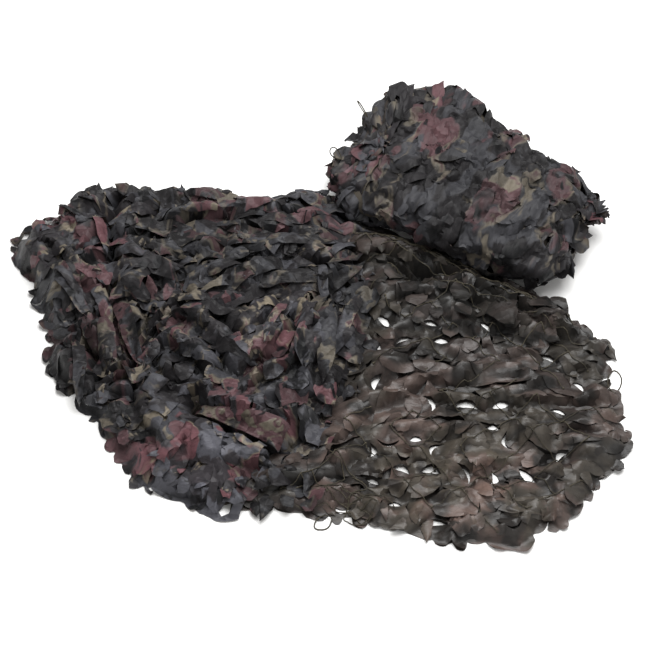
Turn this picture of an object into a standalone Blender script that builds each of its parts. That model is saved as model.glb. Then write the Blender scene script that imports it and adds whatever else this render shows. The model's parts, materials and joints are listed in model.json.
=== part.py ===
"""A camouflage net: leaf-cut garnish cloth tied on a carrier net of cord.

It lies on z = 0. Its left stretch is turned back over itself in a crumpled heap, its right stretch
lies with the back of the cloth and the carrier net up, and its far end is rolled and rests on top.
Metres, +Z up. The middle of the object's bounds is over the origin.
"""

import math
from collections import namedtuple

import bpy
import bmesh
from mathutils import Matrix, Vector, noise
from mathutils.bvhtree import BVHTree
from mathutils.geometry import delaunay_2d_cdt

# Cloth
CLOTH_THICK = 0.003
LAYER_GAP = 0.0032  # least room between the two layers of the heap
PIECE_GAP = 0.0003  # between two pieces that rest on each other
RIM_THICK = 0.010  # the turned edge round the heap
RIM_WIDTH = 0.0055
LEAF_PITCH = 0.052  # one cut leaf along the cloth's edge
LEAF_DEPTH = 0.007
HEAP_HEIGHT = 0.056
HEAP_SHOULDER = 0.050  # how far in from its rim the heap reaches its height
FRONT_SHOULDER = 0.105
FREE_EDGE_HEIGHT = 0.024
FREE_EDGE_SLOPE = 0.070
HEAP_STEP = 0.0265  # spacing of the cloth's surface points
LAID_STEP = 0.025
CREASE_STEP = 0.024
EDGE_ROOM = 0.42  # of the spacing, kept free beside an edge
RIPPLE_SIZE = 0.085
RIPPLE_RISE = 0.0055
CRUMPLE_SIZE = 0.070
CRUMPLE_RISE = 0.010

# Rolled end
ROLL_CORNER = (0.066, 0.206)  # front left corner of the roll's plan
ROLL_TURN = math.radians(-26)
ROLL_SIDES = 36
ROLL_STEP = 0.026
ROLL_SQUARE = 2.5  # exponent of the section's superellipse
ROLL_LIP = 0.05  # step at the outermost turn's edge, as a share of the roll's size
ROLL_LIP_TURN = 0.10  # where round the section that edge lies, as a share of a turn
ROLL_LUMP = 0.0085
ROLL_LUMP_SIZE = 0.050
ROLL_FRONT_ROOM = 0.032

# Cords
CORD_RADIUS = 0.0012
NET_PITCH = 0.062
NET_PARTS = 3  # straight stretches along one side of a mesh
NET_SLACK = 0.013
LOOP_RESOLUTION = 2
LOOP_POINTS = 16
LOOP_ROOM = 0.007

Fold = namedtuple("Fold", "half_width rise path")
Gap = namedtuple("Gap", "x y length width turn bow")
Station = namedtuple("Station", "along front back height")
Turn = namedtuple("Turn", "size along")
Loop = namedtuple("Loop", "name x y across along turn")
RollLoop = namedtuple("RollLoop", "name near reach half_width turn")

# The cloth's edge, counter-clockwise: first round the laid stretch, then round the heap.
LAID_EDGE = [
    (-0.162, -0.405), (-0.108, -0.394), (-0.040, -0.413), (0.047, -0.423), (0.100, -0.436),
    (0.135, -0.430), (0.183, -0.455), (0.224, -0.474), (0.280, -0.466), (0.323, -0.491),
    (0.365, -0.452), (0.392, -0.430), (0.415, -0.453), (0.429, -0.425), (0.458, -0.385),
    (0.491, -0.346), (0.534, -0.305), (0.557, -0.262), (0.539, -0.221), (0.545, -0.178),
    (0.518, -0.130), (0.526, -0.090), (0.544, -0.061), (0.513, -0.040), (0.474, 0.000),
    (0.466, 0.055), (0.448, 0.110), (0.430, 0.200), (0.390, 0.290), (0.310, 0.390),
    (0.225, 0.430), (0.150, 0.410), (0.100, 0.330), (0.028, 0.290),
]
HEAP_EDGE = [
    (0.028, 0.290), (-0.016, 0.313), (-0.065, 0.305), (-0.114, 0.284), (-0.164, 0.287),
    (-0.200, 0.304), (-0.273, 0.314), (-0.342, 0.314), (-0.398, 0.323), (-0.438, 0.325),
    (-0.484, 0.300), (-0.512, 0.258), (-0.550, 0.225), (-0.587, 0.202), (-0.604, 0.163),
    (-0.596, 0.126), (-0.566, 0.087), (-0.545, 0.023), (-0.514, -0.045), (-0.516, -0.088),
    (-0.496, -0.134), (-0.457, -0.178), (-0.413, -0.223), (-0.383, -0.264), (-0.355, -0.305),
    (-0.322, -0.346), (-0.252, -0.388), (-0.205, -0.410), (-0.162, -0.405),
]
# The turned-back layer's free edge, from the back to the front.
FREE_EDGE = [
    (0.028, 0.290), (0.040, 0.240), (0.045, 0.201), (0.062, 0.140), (0.082, 0.077), (0.089, 0.013),
    (0.076, -0.067), (0.053, -0.119), (0.060, -0.162), (0.035, -0.192), (0.009, -0.224),
    (0.002, -0.274), (-0.052, -0.311), (-0.101, -0.333), (-0.136, -0.362), (-0.162, -0.405),
]

HEAP_FOLDS = [
    Fold(0.060, 0.013, [(-0.555, 0.150), (-0.470, 0.200)]),
    Fold(0.030, -0.030, [(-0.420, 0.315), (-0.408, 0.180), (-0.402, 0.085), (-0.397, -0.040)]),
    Fold(0.027, -0.028, [(-0.327, 0.300), (-0.320, 0.160)]),
    Fold(0.030, 0.015, [(-0.300, 0.222), (-0.142, 0.236), (-0.010, 0.226)]),
    Fold(0.022, -0.020, [(-0.311, 0.176), (-0.179, 0.160), (-0.044, 0.176)]),
    Fold(0.022, 0.014, [(-0.300, 0.148), (-0.159, 0.131), (-0.030, 0.150)]),
    Fold(0.022, -0.022, [(-0.302, 0.120), (-0.158, 0.100), (0.020, 0.122)]),
    Fold(0.030, 0.014, [(-0.382, 0.040), (-0.240, 0.096), (-0.130, 0.066), (0.030, 0.080)]),
    Fold(0.024, -0.024, [(-0.350, 0.010), (-0.224, 0.052), (-0.115, 0.026), (0.030, 0.040)]),
    Fold(0.095, 0.024, [(-0.229, -0.030), (-0.115, -0.091), (-0.010, -0.060)]),
    Fold(0.018, -0.014, [(-0.060, 0.000), (-0.040, -0.100), (-0.050, -0.180)]),
    Fold(0.030, 0.022, [(-0.222, -0.186), (-0.149, -0.226), (-0.070, -0.264)]),
    Fold(0.026, -0.030, [(-0.232, -0.216), (-0.145, -0.258), (-0.045, -0.300)]),
    Fold(0.022, -0.020, [(-0.492, 0.004), (-0.480, -0.064)]),
    Fold(0.022, -0.022, [(-0.440, -0.050), (-0.418, -0.140)]),
    Fold(0.026, -0.024, [(-0.356, -0.044), (-0.337, -0.192)]),
    Fold(0.030, 0.012, [(-0.306, -0.190), (-0.275, -0.310)]),
    Fold(0.030, 0.014, [(-0.216, -0.270), (-0.191, -0.350)]),
]
LAID_FOLDS = [
    Fold(0.036, 0.027, [(0.075, 0.165), (0.149, 0.150), (0.226, 0.108), (0.338, 0.050), (0.465, -0.006)]),
    Fold(0.040, 0.015, [(0.120, 0.070), (0.300, 0.000), (0.470, -0.055)]),
    Fold(0.048, 0.016, [(0.105, -0.110), (0.234, -0.135), (0.439, -0.110)]),
    Fold(0.034, 0.019, [(0.235, -0.250), (0.360, -0.265), (0.505, -0.275)]),
    Fold(0.032, 0.015, [(0.030, -0.300), (0.140, -0.318), (0.279, -0.322)]),
    Fold(0.042, 0.015, [(0.160, -0.395), (0.348, -0.372), (0.460, -0.325)]),
    Fold(0.032, 0.012, [(-0.080, -0.362), (0.030, -0.388), (0.100, -0.400)]),
    Fold(0.026, 0.010, [(0.500, -0.030), (0.500, -0.190)]),
]
# Crescent gaps between the cut leaves: turn in degrees, bow is how far the crescent curves.
CUT_GAPS = [
    Gap(0.112, -0.003, 0.032, 0.013, -50, 0.004), Gap(0.098, -0.058, 0.028, 0.013, -60, 0.003),
    Gap(0.154, -0.051, 0.030, 0.012, 25, 0.006), Gap(0.203, -0.010, 0.026, 0.010, -15, 0.003),
    Gap(0.222, -0.050, 0.028, 0.012, 0, 0.004), Gap(0.305, -0.014, 0.022, 0.011, -55, 0.003),
    Gap(0.418, -0.092, 0.028, 0.010, -25, 0.005), Gap(0.102, -0.142, 0.030, 0.010, 65, 0.005),
    Gap(0.189, -0.190, 0.034, 0.011, -70, 0.009), Gap(0.262, -0.196, 0.036, 0.015, 0, 0.006),
    Gap(0.326, -0.190, 0.026, 0.017, 10, 0.002), Gap(0.429, -0.206, 0.026, 0.011, -20, 0.004),
    Gap(0.308, -0.243, 0.024, 0.011, -10, 0.005), Gap(0.117, -0.268, 0.034, 0.014, 0, -0.006),
    Gap(0.082, -0.288, 0.026, 0.010, 80, -0.007), Gap(0.168, -0.262, 0.020, 0.009, 0, 0.002),
    Gap(0.206, -0.288, 0.030, 0.010, 45, 0.008), Gap(0.338, -0.268, 0.030, 0.010, -72, -0.008),
    Gap(0.139, -0.330, 0.028, 0.010, -20, 0.006), Gap(0.191, -0.336, 0.032, 0.013, -15, 0.008),
    Gap(0.247, -0.338, 0.032, 0.010, -60, 0.008), Gap(0.297, -0.342, 0.028, 0.010, 80, -0.007),
    Gap(0.363, -0.342, 0.042, 0.013, -55, 0.002), Gap(0.087, -0.352, 0.022, 0.014, -20, 0.003),
    Gap(0.194, -0.438, 0.042, 0.014, 0, 0.005), Gap(0.126, -0.398, 0.022, 0.009, 0, 0.003),
    Gap(0.033, -0.398, 0.030, 0.010, -10, -0.006), Gap(-0.030, -0.372, 0.024, 0.010, 20, 0.004),
    Gap(0.430, -0.300, 0.026, 0.010, 40, 0.005), Gap(0.470, -0.150, 0.024, 0.010, -50, 0.004),
]
# The roll's plan and height at stations along it.
ROLL_STATIONS = [
    Station(-0.040, 0.020, 0.318, 0.106), Station(0.000, 0.004, 0.348, 0.124),
    Station(0.060, 0.000, 0.368, 0.144), Station(0.150, 0.000, 0.326, 0.152),
    Station(0.290, 0.000, 0.270, 0.142), Station(0.380, 0.008, 0.236, 0.124),
    Station(0.420, 0.040, 0.218, 0.100), Station(0.438, 0.085, 0.185, 0.070),
]
# Turns of cloth that show at the roll's ends: how large each ring is and where along the roll it sits.
LEFT_END_TURNS = [
    Turn(0.10, -0.074), Turn(0.20, -0.098), Turn(0.33, -0.104), Turn(0.40, -0.082), Turn(0.46, -0.100),
    Turn(0.58, -0.100), Turn(0.63, -0.068), Turn(0.70, -0.088), Turn(0.80, -0.080), Turn(0.84, -0.048),
    Turn(0.89, -0.064), Turn(0.96, -0.054),
]
RIGHT_END_TURNS = [Turn(0.82, 0.442), Turn(0.74, 0.432), Turn(0.62, 0.444), Turn(0.34, 0.440)]

# Where the carrier net shows, counter-clockwise.
NET_AREA = [
    (-0.110, -0.372), (-0.020, -0.400), (0.110, -0.418), (0.215, -0.458), (0.320, -0.470),
    (0.400, -0.415), (0.475, -0.345), (0.528, -0.290), (0.522, -0.190), (0.502, -0.100),
    (0.480, -0.040), (0.450, -0.020), (0.340, 0.030), (0.225, 0.085), (0.130, 0.125),
    (0.096, 0.090), (0.106, 0.010), (0.094, -0.072), (0.072, -0.120), (0.076, -0.168),
    (0.026, -0.228), (0.020, -0.290), (-0.048, -0.330),
]
EDGE_LOOPS = [
    Loop("edge_loop_front", 0.000, -0.430, 0.015, 0.012, 20),
    Loop("edge_loop_right", 0.540, -0.135, 0.012, 0.026, -6),
    Loop("edge_loop_left", -0.597, 0.190, 0.012, 0.016, 30),
]
# Loops that stand out from the roll's left end: a point near it and which way they stand.
ROLL_LOOPS = [
    RollLoop("roll_loop_low", (0.030, 0.330, 0.100), 0.016, 0.008, 10),
    RollLoop("roll_loop_high", (0.085, 0.440, 0.120), 0.020, 0.009, 75),
]

CLOTH_BACK = (0.072, 0.058, 0.047, 1.0)
CLOTH_PRINT = (0.050, 0.045, 0.050, 1.0)
CORD_GREEN = (0.040, 0.038, 0.026, 1.0)


def clear_scene():
    for thing in list(bpy.data.objects):
        bpy.data.objects.remove(thing, do_unlink=True)


def make_material(name, colour, roughness):
    material = bpy.data.materials.new(name)
    material.use_nodes = True
    shader = material.node_tree.nodes["Principled BSDF"]
    shader.inputs["Base Color"].default_value = colour
    shader.inputs["Roughness"].default_value = roughness
    shader.inputs["Metallic"].default_value = 0.0
    return material


def ease(t):
    t = min(max(t, 0.0), 1.0)
    return t * t * (3 - 2 * t)


def ripple(x, y, size, seed):
    """Soft unevenness from -1 to 1."""
    return noise.noise(Vector((x / size, y / size, seed)))


def segment_distance(x, y, start, end):
    dx = end[0] - start[0]
    dy = end[1] - start[1]
    share = ((x - start[0]) * dx + (y - start[1]) * dy) / max(dx * dx + dy * dy, 1e-12)
    share = min(max(share, 0.0), 1.0)
    return math.hypot(x - start[0] - share * dx, y - start[1] - share * dy)


def path_distance(x, y, path):
    return min(segment_distance(x, y, a, b) for a, b in zip(path, path[1:]))


def inside(x, y, polygon):
    found = False
    for (ax, ay), (bx, by) in zip(polygon, polygon[1:] + polygon[:1]):
        if (ay > y) != (by > y) and x < ax + (y - ay) * (bx - ax) / (by - ay):
            found = not found
    return found


def resample(path, step):
    """Points about step apart along the path, its own corners among them."""
    points = [path[0]]
    for (ax, ay), (bx, by) in zip(path, path[1:]):
        parts = max(1, round(math.hypot(bx - ax, by - ay) / step))
        points += [(ax + (bx - ax) * k / parts, ay + (by - ay) * k / parts) for k in range(1, parts + 1)]
    return points


def offset_path(path, distance):
    """The path's inner points moved to its left by this distance."""
    moved = []
    for before, here, after in zip(path, path[1:], path[2:]):
        along = Vector((after[0] - before[0], after[1] - before[1])).normalized()
        moved.append((here[0] - along.y * distance, here[1] + along.x * distance))
    return moved


def leafy(path):
    """The path with a rounded leaf tip bulging out to its right about every LEAF_PITCH."""
    points = [path[0]]
    for (ax, ay), (bx, by) in zip(path, path[1:]):
        length = math.hypot(bx - ax, by - ay)
        leaves = max(1, round(length / LEAF_PITCH))
        out_x = (by - ay) / length
        out_y = (ax - bx) / length
        for k in range(leaves * 3):
            share = (k + 1) / (leaves * 3)
            x = ax + (bx - ax) * share
            y = ay + (by - ay) * share
            bulge = 0.0 if k % 3 == 2 else LEAF_DEPTH * (1 + 0.6 * ripple(x, y, 0.03, 3.0))
            points.append((x + out_x * bulge, y + out_y * bulge))
    return points


def fold_rise(x, y, folds):
    total = 0.0
    for fold in folds:
        total += fold.rise * ease(1 - path_distance(x, y, fold.path) / fold.half_width)
    return total


def roll_frame(x, y):
    """(along, across) of a point in the roll's own plan."""
    dx = x - ROLL_CORNER[0]
    dy = y - ROLL_CORNER[1]
    cos = math.cos(ROLL_TURN)
    sin = math.sin(ROLL_TURN)
    return dx * cos + dy * sin, dy * cos - dx * sin


def laid_rise(x, y):
    """Height of the lower layer's underside over the surface it rests on."""
    height = fold_rise(x, y, LAID_FOLDS) + RIPPLE_RISE * (ripple(x, y, RIPPLE_SIZE, 1.0) - 0.35)
    _, across = roll_frame(x, y)
    return max(0.0, height) * ease(-across / ROLL_FRONT_ROOM)


def heap_rise(x, y):
    """Height of the turned-back layer's upper face."""
    height = HEAP_HEIGHT + fold_rise(x, y, HEAP_FOLDS)
    height += CRUMPLE_RISE * ripple(x, y, RIPPLE_SIZE, 2.0)
    height += CRUMPLE_RISE * (0.5 - 2 * abs(ripple(x, y, CRUMPLE_SIZE, 4.0)))
    front = ease((-0.10 - y) / 0.12)
    shoulder = HEAP_SHOULDER + (FRONT_SHOULDER - HEAP_SHOULDER) * front
    rim_share = ease(0.12 + 0.88 * path_distance(x, y, HEAP_EDGE) / shoulder)
    height = RIM_THICK + (height - RIM_THICK) * rim_share
    edge_height = FREE_EDGE_HEIGHT * (1 + 0.5 * ripple(x, y, 0.06, 5.0))
    edge_share = ease(path_distance(x, y, FREE_EDGE[1:-1]) / FREE_EDGE_SLOPE)
    return min(height, edge_height + (height - edge_height) * edge_share)


def cloth_levels(x, y, in_hollow):
    """Heights of the lower layer's two faces and of the turned-back layer's two faces."""
    under = laid_rise(x, y)
    over = under + CLOTH_THICK
    top = heap_rise(x, y)
    if in_hollow:
        top = max(top, over + LAYER_GAP + CLOTH_THICK)
    else:
        top = max(top, over + 2 * LAYER_GAP)
    return under, over, top - CLOTH_THICK, top


def crescent(gap):
    """Outline of one gap: two arcs that meet at its tips, clockwise from the left tip."""
    cos = math.cos(math.radians(gap.turn))
    sin = math.sin(math.radians(gap.turn))
    points = []
    for share, side in ((-1, 0), (-0.45, 1), (0.45, 1), (1, 0), (0.45, -1), (-0.45, -1)):
        along = share * gap.length / 2
        across = gap.bow * (1 - share * share) + side * gap.width / 2
        points.append((gap.x + along * cos - across * sin, gap.y + along * sin + across * cos))
    return points


def scatter(polygons, edges, step_of):
    """Hexagonal grid points, a little uneven, inside the first polygon and clear of every edge."""
    xs = [x for x, _ in polygons[0]]
    ys = [y for _, y in polygons[0]]
    fine = min(HEAP_STEP, LAID_STEP)
    found = []
    for in_heap in (True, False):
        step = HEAP_STEP if in_heap else LAID_STEP
        row_step = step * math.sqrt(3) / 2
        for row in range(int((max(ys) - min(ys)) / row_step) + 1):
            for column in range(int((max(xs) - min(xs)) / step) + 1):
                x = min(xs) + (column + 0.5 * (row % 2)) * step
                y = min(ys) + row * row_step
                x += 0.22 * step * ripple(x, y, fine, 7.0)
                y += 0.22 * step * ripple(x, y, fine, 8.0)
                if step_of(x, y) != step or not inside(x, y, polygons[0]):
                    continue
                if any(inside(x, y, polygon) for polygon in polygons[2:]):
                    continue
                if min(segment_distance(x, y, a, b) for a, b in edges) > EDGE_ROOM * step:
                    found.append((x, y))
    return found


def plan_triangles():
    """The cloth's plan as (points, triangles, cells), each triangle with the set of cells it fills.

    Cell 0 is the lower layer, cell 2 the turned-back layer and cell 1 the room between them.
    """
    laid = leafy(LAID_EDGE)
    heap = leafy(HEAP_EDGE)
    free = resample(FREE_EDGE, HEAP_STEP)
    outline = laid[:-1] + heap[:-1]
    heap_area = free[:-1] + heap[::-1][:-1]
    inner = offset_path(resample(HEAP_EDGE, HEAP_STEP), RIM_WIDTH)
    hollow = free[1:-1] + inner[::-1]
    gaps = [crescent(gap) for gap in CUT_GAPS]
    loops = [outline, hollow] + gaps
    chains = [free]
    for fold in HEAP_FOLDS + LAID_FOLDS:
        path = resample(fold.path, CREASE_STEP)
        heap_fold = fold in HEAP_FOLDS
        room = [point for point in path if inside(*point, hollow if heap_fold else outline)]
        chains.append([point for point in room if path_distance(*point, heap + free + laid) > 0.010])
    points = []
    edges = []
    for loop in loops:
        first = len(points)
        points += loop
        edges += [(first + k, first + (k + 1) % len(loop)) for k in range(len(loop))]
    for chain in chains:
        first = len(points)
        points += chain
        edges += [(first + k, first + k + 1) for k in range(len(chain) - 1)]
    lines = [(points[a], points[b]) for a, b in edges]
    step_of = lambda x, y: HEAP_STEP if inside(x, y, heap_area) else LAID_STEP
    points += scatter([outline, hollow] + gaps, lines, step_of)
    flat = [Vector(point) for point in points]
    placed, _, triangles, _, _, _ = delaunay_2d_cdt(flat, edges, [], 0, 1e-6)
    kept = []
    cells = []
    for triangle in triangles:
        x = sum(placed[k].x for k in triangle) / 3
        y = sum(placed[k].y for k in triangle) / 3
        if not inside(x, y, outline) or any(inside(x, y, gap) for gap in gaps):
            continue
        kept.append(tuple(triangle))
        if not inside(x, y, heap_area):
            cells.append({0})
        elif inside(x, y, hollow):
            cells.append({0, 2})
        else:
            cells.append({0, 1, 2})
    return placed, kept, cells


def runs(cells):
    """The maximal stretches of neighbouring cells, as (lowest level, highest level)."""
    found = []
    for cell in sorted(cells):
        if found and found[-1][1] == cell:
            found[-1] = (found[-1][0], cell + 1)
        else:
            found.append((cell, cell + 1))
    return found


def layered_mesh(name, points, triangles, cells):
    """One closed mesh with a bottom, a top and walls for each stretch of cells that is cloth."""
    hollow_points = set()
    levels_used = {}
    for triangle, filled in zip(triangles, cells):
        for corner in triangle:
            if filled == {0, 2}:
                hollow_points.add(corner)
            for low, high in runs(filled):
                levels_used.setdefault(corner, set()).update((low, high))
    bm = bmesh.new()
    made = {}
    for corner, levels in levels_used.items():
        x, y = points[corner]
        heights = cloth_levels(x, y, corner in hollow_points)
        for level in levels:
            made[corner, level] = bm.verts.new((x, y, heights[level]))
    sides = {}
    for triangle, filled in zip(triangles, cells):
        a, b, c = triangle
        for low, high in runs(filled):
            bm.faces.new([made[corner, high] for corner in (a, b, c)])
            bm.faces.new([made[corner, low] for corner in (c, b, a)])
        for start, end in ((a, b), (b, c), (c, a)):
            sides[start, end] = filled
    for (start, end), filled in sides.items():
        for low, high in runs(filled - sides.get((end, start), set())):
            span = range(low, high + 1)
            up = [made[end, level] for level in span if level in levels_used[end]]
            down = [made[start, level] for level in reversed(span) if level in levels_used[start]]
            bm.faces.new(down + up)
    bmesh.ops.triangulate(bm, faces=[face for face in bm.faces if len(face.verts) > 3])
    mesh = bpy.data.meshes.new(name)
    bm.to_mesh(mesh)
    bm.free()
    return mesh


def add_object(name, mesh, material, parent):
    thing = bpy.data.objects.new(name, mesh)
    thing.data.materials.append(material)
    thing.parent = parent
    bpy.context.scene.collection.objects.link(thing)
    return thing


def make_laid_cloth(parent, material):
    mesh = layered_mesh("laid_cloth", *plan_triangles())
    return add_object("laid_cloth", mesh, material, parent)


def station_at(along):
    """The roll's front, back and height at a place along it."""
    for low, high in zip(ROLL_STATIONS, ROLL_STATIONS[1:]):
        if along <= high.along:
            break
    share = min(max((along - low.along) / (high.along - low.along), 0.0), 1.0)
    return [low[k] + (high[k] - low[k]) * share for k in (1, 2, 3)]


def roll_section(along, size):
    """One ring of the roll: a squarish oval that grows a little with each turn of the cloth."""
    front, back, height = station_at(along)
    floor = CLOTH_THICK + PIECE_GAP
    cos = math.cos(ROLL_TURN)
    sin = math.sin(ROLL_TURN)
    ring = []
    for k in range(ROLL_SIDES):
        share = k / ROLL_SIDES
        angle = 2 * math.pi * share
        turn = (share - ROLL_LIP_TURN) % 1.0
        grown = size * (1 - ROLL_LIP * (1 - turn))
        wide = abs(math.cos(angle)) ** ROLL_SQUARE
        tall = abs(math.sin(angle)) ** ROLL_SQUARE
        spread = grown * (wide + tall) ** (-1 / ROLL_SQUARE)
        across = (front + back) / 2 + (back - front) / 2 * spread * math.cos(angle)
        up = height / 2 * (1 + spread * math.sin(angle))
        place = Vector((along, across, up))
        lump = ROLL_LUMP * noise.noise(place / ROLL_LUMP_SIZE)
        lump += ROLL_LUMP * (1 - 2 * abs(noise.noise(place / ROLL_LUMP_SIZE * 0.6))) - ROLL_LUMP / 2
        across += lump * size * math.cos(angle)
        up += lump * size * math.sin(angle)
        x = ROLL_CORNER[0] + (along + 0.6 * lump) * cos - across * sin
        y = ROLL_CORNER[1] + (along + 0.6 * lump) * sin + across * cos
        ring.append((x, y, max(floor, floor + up)))
    return ring


def roll_rings():
    """All rings of the roll, from the middle of its left end to the middle of its right end."""
    first = ROLL_STATIONS[0].along
    last = ROLL_STATIONS[-1].along
    steps = round((last - first) / ROLL_STEP)
    rings = [roll_section(turn.along, turn.size) for turn in LEFT_END_TURNS]
    rings += [roll_section(first + (last - first) * k / steps, 1.0) for k in range(steps + 1)]
    return rings + [roll_section(turn.along, turn.size) for turn in RIGHT_END_TURNS]


def make_rolled_cloth(parent, material):
    bm = bmesh.new()
    rings = [[bm.verts.new(point) for point in ring] for ring in roll_rings()]
    for low, high in zip(rings, rings[1:]):
        for k in range(ROLL_SIDES):
            after = (k + 1) % ROLL_SIDES
            bm.faces.new((low[k], low[after], high[after], high[k]))
    bm.faces.new(rings[0][::-1])
    bm.faces.new(rings[-1])
    bmesh.ops.triangulate(bm, faces=bm.faces)
    bmesh.ops.recalc_face_normals(bm, faces=bm.faces)
    mesh = bpy.data.meshes.new("rolled_cloth")
    bm.to_mesh(mesh)
    bm.free()
    return add_object("rolled_cloth", mesh, material, parent)


def surface_tree(thing):
    bm = bmesh.new()
    bm.from_mesh(thing.data)
    tree = BVHTree.FromBMesh(bm)
    bm.free()
    return tree


def surface_height(tree, x, y):
    """Height of the cloth under this place, or 0 over a gap."""
    hit = tree.ray_cast(Vector((x, y, 1.0)), Vector((0, 0, -1)))[0]
    return hit.z if hit else 0.0


def net_lattice():
    """Meshes of the carrier net as a flat surface of many-sided faces, one side a slack cord."""
    middle = Vector((0.22, -0.17))
    reach = 9
    turn = math.radians(38)
    knots = {}
    for i in range(-reach, reach + 1):
        for j in range(-reach, reach + 1):
            x = middle.x + NET_PITCH * (i * math.cos(turn) - j * math.sin(turn))
            y = middle.y + NET_PITCH * (i * math.sin(turn) + j * math.cos(turn)) * 0.9
            x += NET_SLACK * 1.6 * ripple(x, y, 0.04, 11.0)
            y += NET_SLACK * 1.6 * ripple(x, y, 0.04, 12.0)
            knots[i, j] = (x, y)
    bm = bmesh.new()
    verts = {}

    def vert_at(key, place):
        if key not in verts:
            verts[key] = bm.verts.new((place[0], place[1], 0.0))
        return verts[key]

    def side(start, end):
        """Vertices from one knot up to, not counting, the next one."""
        low, high = sorted((start, end))
        chain = [vert_at(start, knots[start])]
        for k in range(1, NET_PARTS):
            part = k if start == low else NET_PARTS - k
            share = part / NET_PARTS
            x = knots[low][0] + (knots[high][0] - knots[low][0]) * share
            y = knots[low][1] + (knots[high][1] - knots[low][1]) * share
            x += NET_SLACK * ripple(x, y, 0.02, 13.0)
            y += NET_SLACK * ripple(x, y, 0.02, 14.0)
            chain.append(vert_at((low, high, part), (x, y)))
        return chain

    for i in range(-reach, reach):
        for j in range(-reach, reach):
            corners = [(i, j), (i + 1, j), (i + 1, j + 1), (i, j + 1)]
            if not all(inside(*knots[corner], NET_AREA) for corner in corners):
                continue
            loop = [side(a, b) for a, b in zip(corners, corners[1:] + corners[:1])]
            bm.faces.new([vert for chain in loop for vert in chain])
    for vert in list(bm.verts):
        if not vert.link_faces:
            bm.verts.remove(vert)
    return bm


def cord_lift(bm, tree):
    """How high each lattice point must be for its cords to stay clear of the cloth below."""
    clear = CORD_RADIUS + 2 * PIECE_GAP
    lift = {vert: surface_height(tree, vert.co.x, vert.co.y) + clear for vert in bm.verts}
    for _ in range(12):
        for edge in bm.edges:
            start, end = edge.verts
            along = (end.co - start.co).normalized()
            for k in range(17):
                share = k / 16
                place = start.co.lerp(end.co, share)
                here = lift[start] + (lift[end] - lift[start]) * share
                for aside in (-1.5 * CORD_RADIUS, 0.0, 1.5 * CORD_RADIUS):
                    height = surface_height(tree, place.x - along.y * aside, place.y + along.x * aside)
                    short = height + clear - abs(aside) * 0.6 - here
                    if short > 0:
                        lift[start] += short
                        lift[end] += short
                        here += short
    return lift


def make_carrier_net(parent, material, cloth):
    bm = net_lattice()
    lift = cord_lift(bm, surface_tree(cloth))
    knots = [(vert.co.copy(), lift[vert]) for vert in bm.verts]
    mesh = bpy.data.meshes.new("carrier_net")
    bm.to_mesh(mesh)
    bm.free()
    net = add_object("carrier_net", mesh, material, parent)
    wire = net.modifiers.new("Cords", "WIREFRAME")
    wire.thickness = 2 * CORD_RADIUS
    wire.use_replace = True
    wire.use_boundary = True
    wire.use_even_offset = False
    graph = bpy.context.evaluated_depsgraph_get()
    flat = bpy.data.meshes.new_from_object(net.evaluated_get(graph))
    net.modifiers.clear()
    net.data = flat
    for vert in flat.vertices:
        nearest = min(knots, key=lambda knot: (knot[0].xy - vert.co.xy).length_squared)
        vert.co.z += nearest[1]
    return net


def make_loop(name, places, material, parent):
    """A closed loop of cord through these places."""
    curve = bpy.data.curves.new(name, "CURVE")
    curve.dimensions = "3D"
    curve.bevel_depth = CORD_RADIUS
    curve.bevel_resolution = LOOP_RESOLUTION
    spline = curve.splines.new("POLY")
    spline.points.add(len(places) - 1)
    spline.use_cyclic_u = True
    for point, place in zip(spline.points, places):
        point.co = (*place, 1.0)
    return add_object(name, curve, material, parent)


def loop_angles():
    return [2 * math.pi * k / LOOP_POINTS for k in range(LOOP_POINTS)]


def make_edge_loop(loop, material, parent, tree):
    """A small loop of the border cord that lies over the cloth's edge and stands out past it."""
    turn = math.radians(loop.turn)
    places = []
    for angle in loop_angles():
        u = loop.across * math.cos(angle) * (1 + 0.18 * math.sin(2 * angle + 0.6))
        v = loop.along * math.sin(angle)
        x = loop.x + u * math.cos(turn) - v * math.sin(turn)
        y = loop.y + u * math.sin(turn) + v * math.cos(turn)
        around = [(x, y)]
        for aside in loop_angles():
            around.append((x + LOOP_ROOM * math.cos(aside), y + LOOP_ROOM * math.sin(aside)))
        height = max(surface_height(tree, *place) for place in around)
        places.append((x, y, height + CORD_RADIUS + 2 * PIECE_GAP))
    return make_loop(loop.name, places, material, parent)


def make_roll_loop(loop, material, parent, tree):
    """A small loop that stands on the roll's end, its foot resting on the cloth there."""
    foot, normal, _, _ = tree.find_nearest(Vector(loop.near))
    side = normal.orthogonal().normalized()
    side.rotate(Matrix.Rotation(math.radians(loop.turn), 3, normal))
    places = []
    for angle in loop_angles():
        out = loop.reach * (1 - math.cos(angle)) + CORD_RADIUS + 2 * PIECE_GAP
        aside = loop.half_width * math.sin(angle) * (1 - 0.35 * math.cos(angle))
        places.append(foot + normal * out + side * aside)
    return make_loop(loop.name, places, material, parent)


def shade_smooth(thing, angle):
    thing.data.shade_smooth()
    thing.data.set_sharp_from_angle(angle=math.radians(angle))


def centre_on_origin(parent, things):
    """Moves the whole net so that the middle of its bounds is over the origin."""
    graph = bpy.context.evaluated_depsgraph_get()
    corners = []
    for thing in things:
        mesh = thing.evaluated_get(graph).to_mesh()
        corners += [vert.co.copy() for vert in mesh.vertices]
    xs = [corner.x for corner in corners]
    ys = [corner.y for corner in corners]
    lowest = min(corner.z for corner in corners)
    parent.location = (-(min(xs) + max(xs)) / 2, -(min(ys) + max(ys)) / 2, -lowest)


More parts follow.
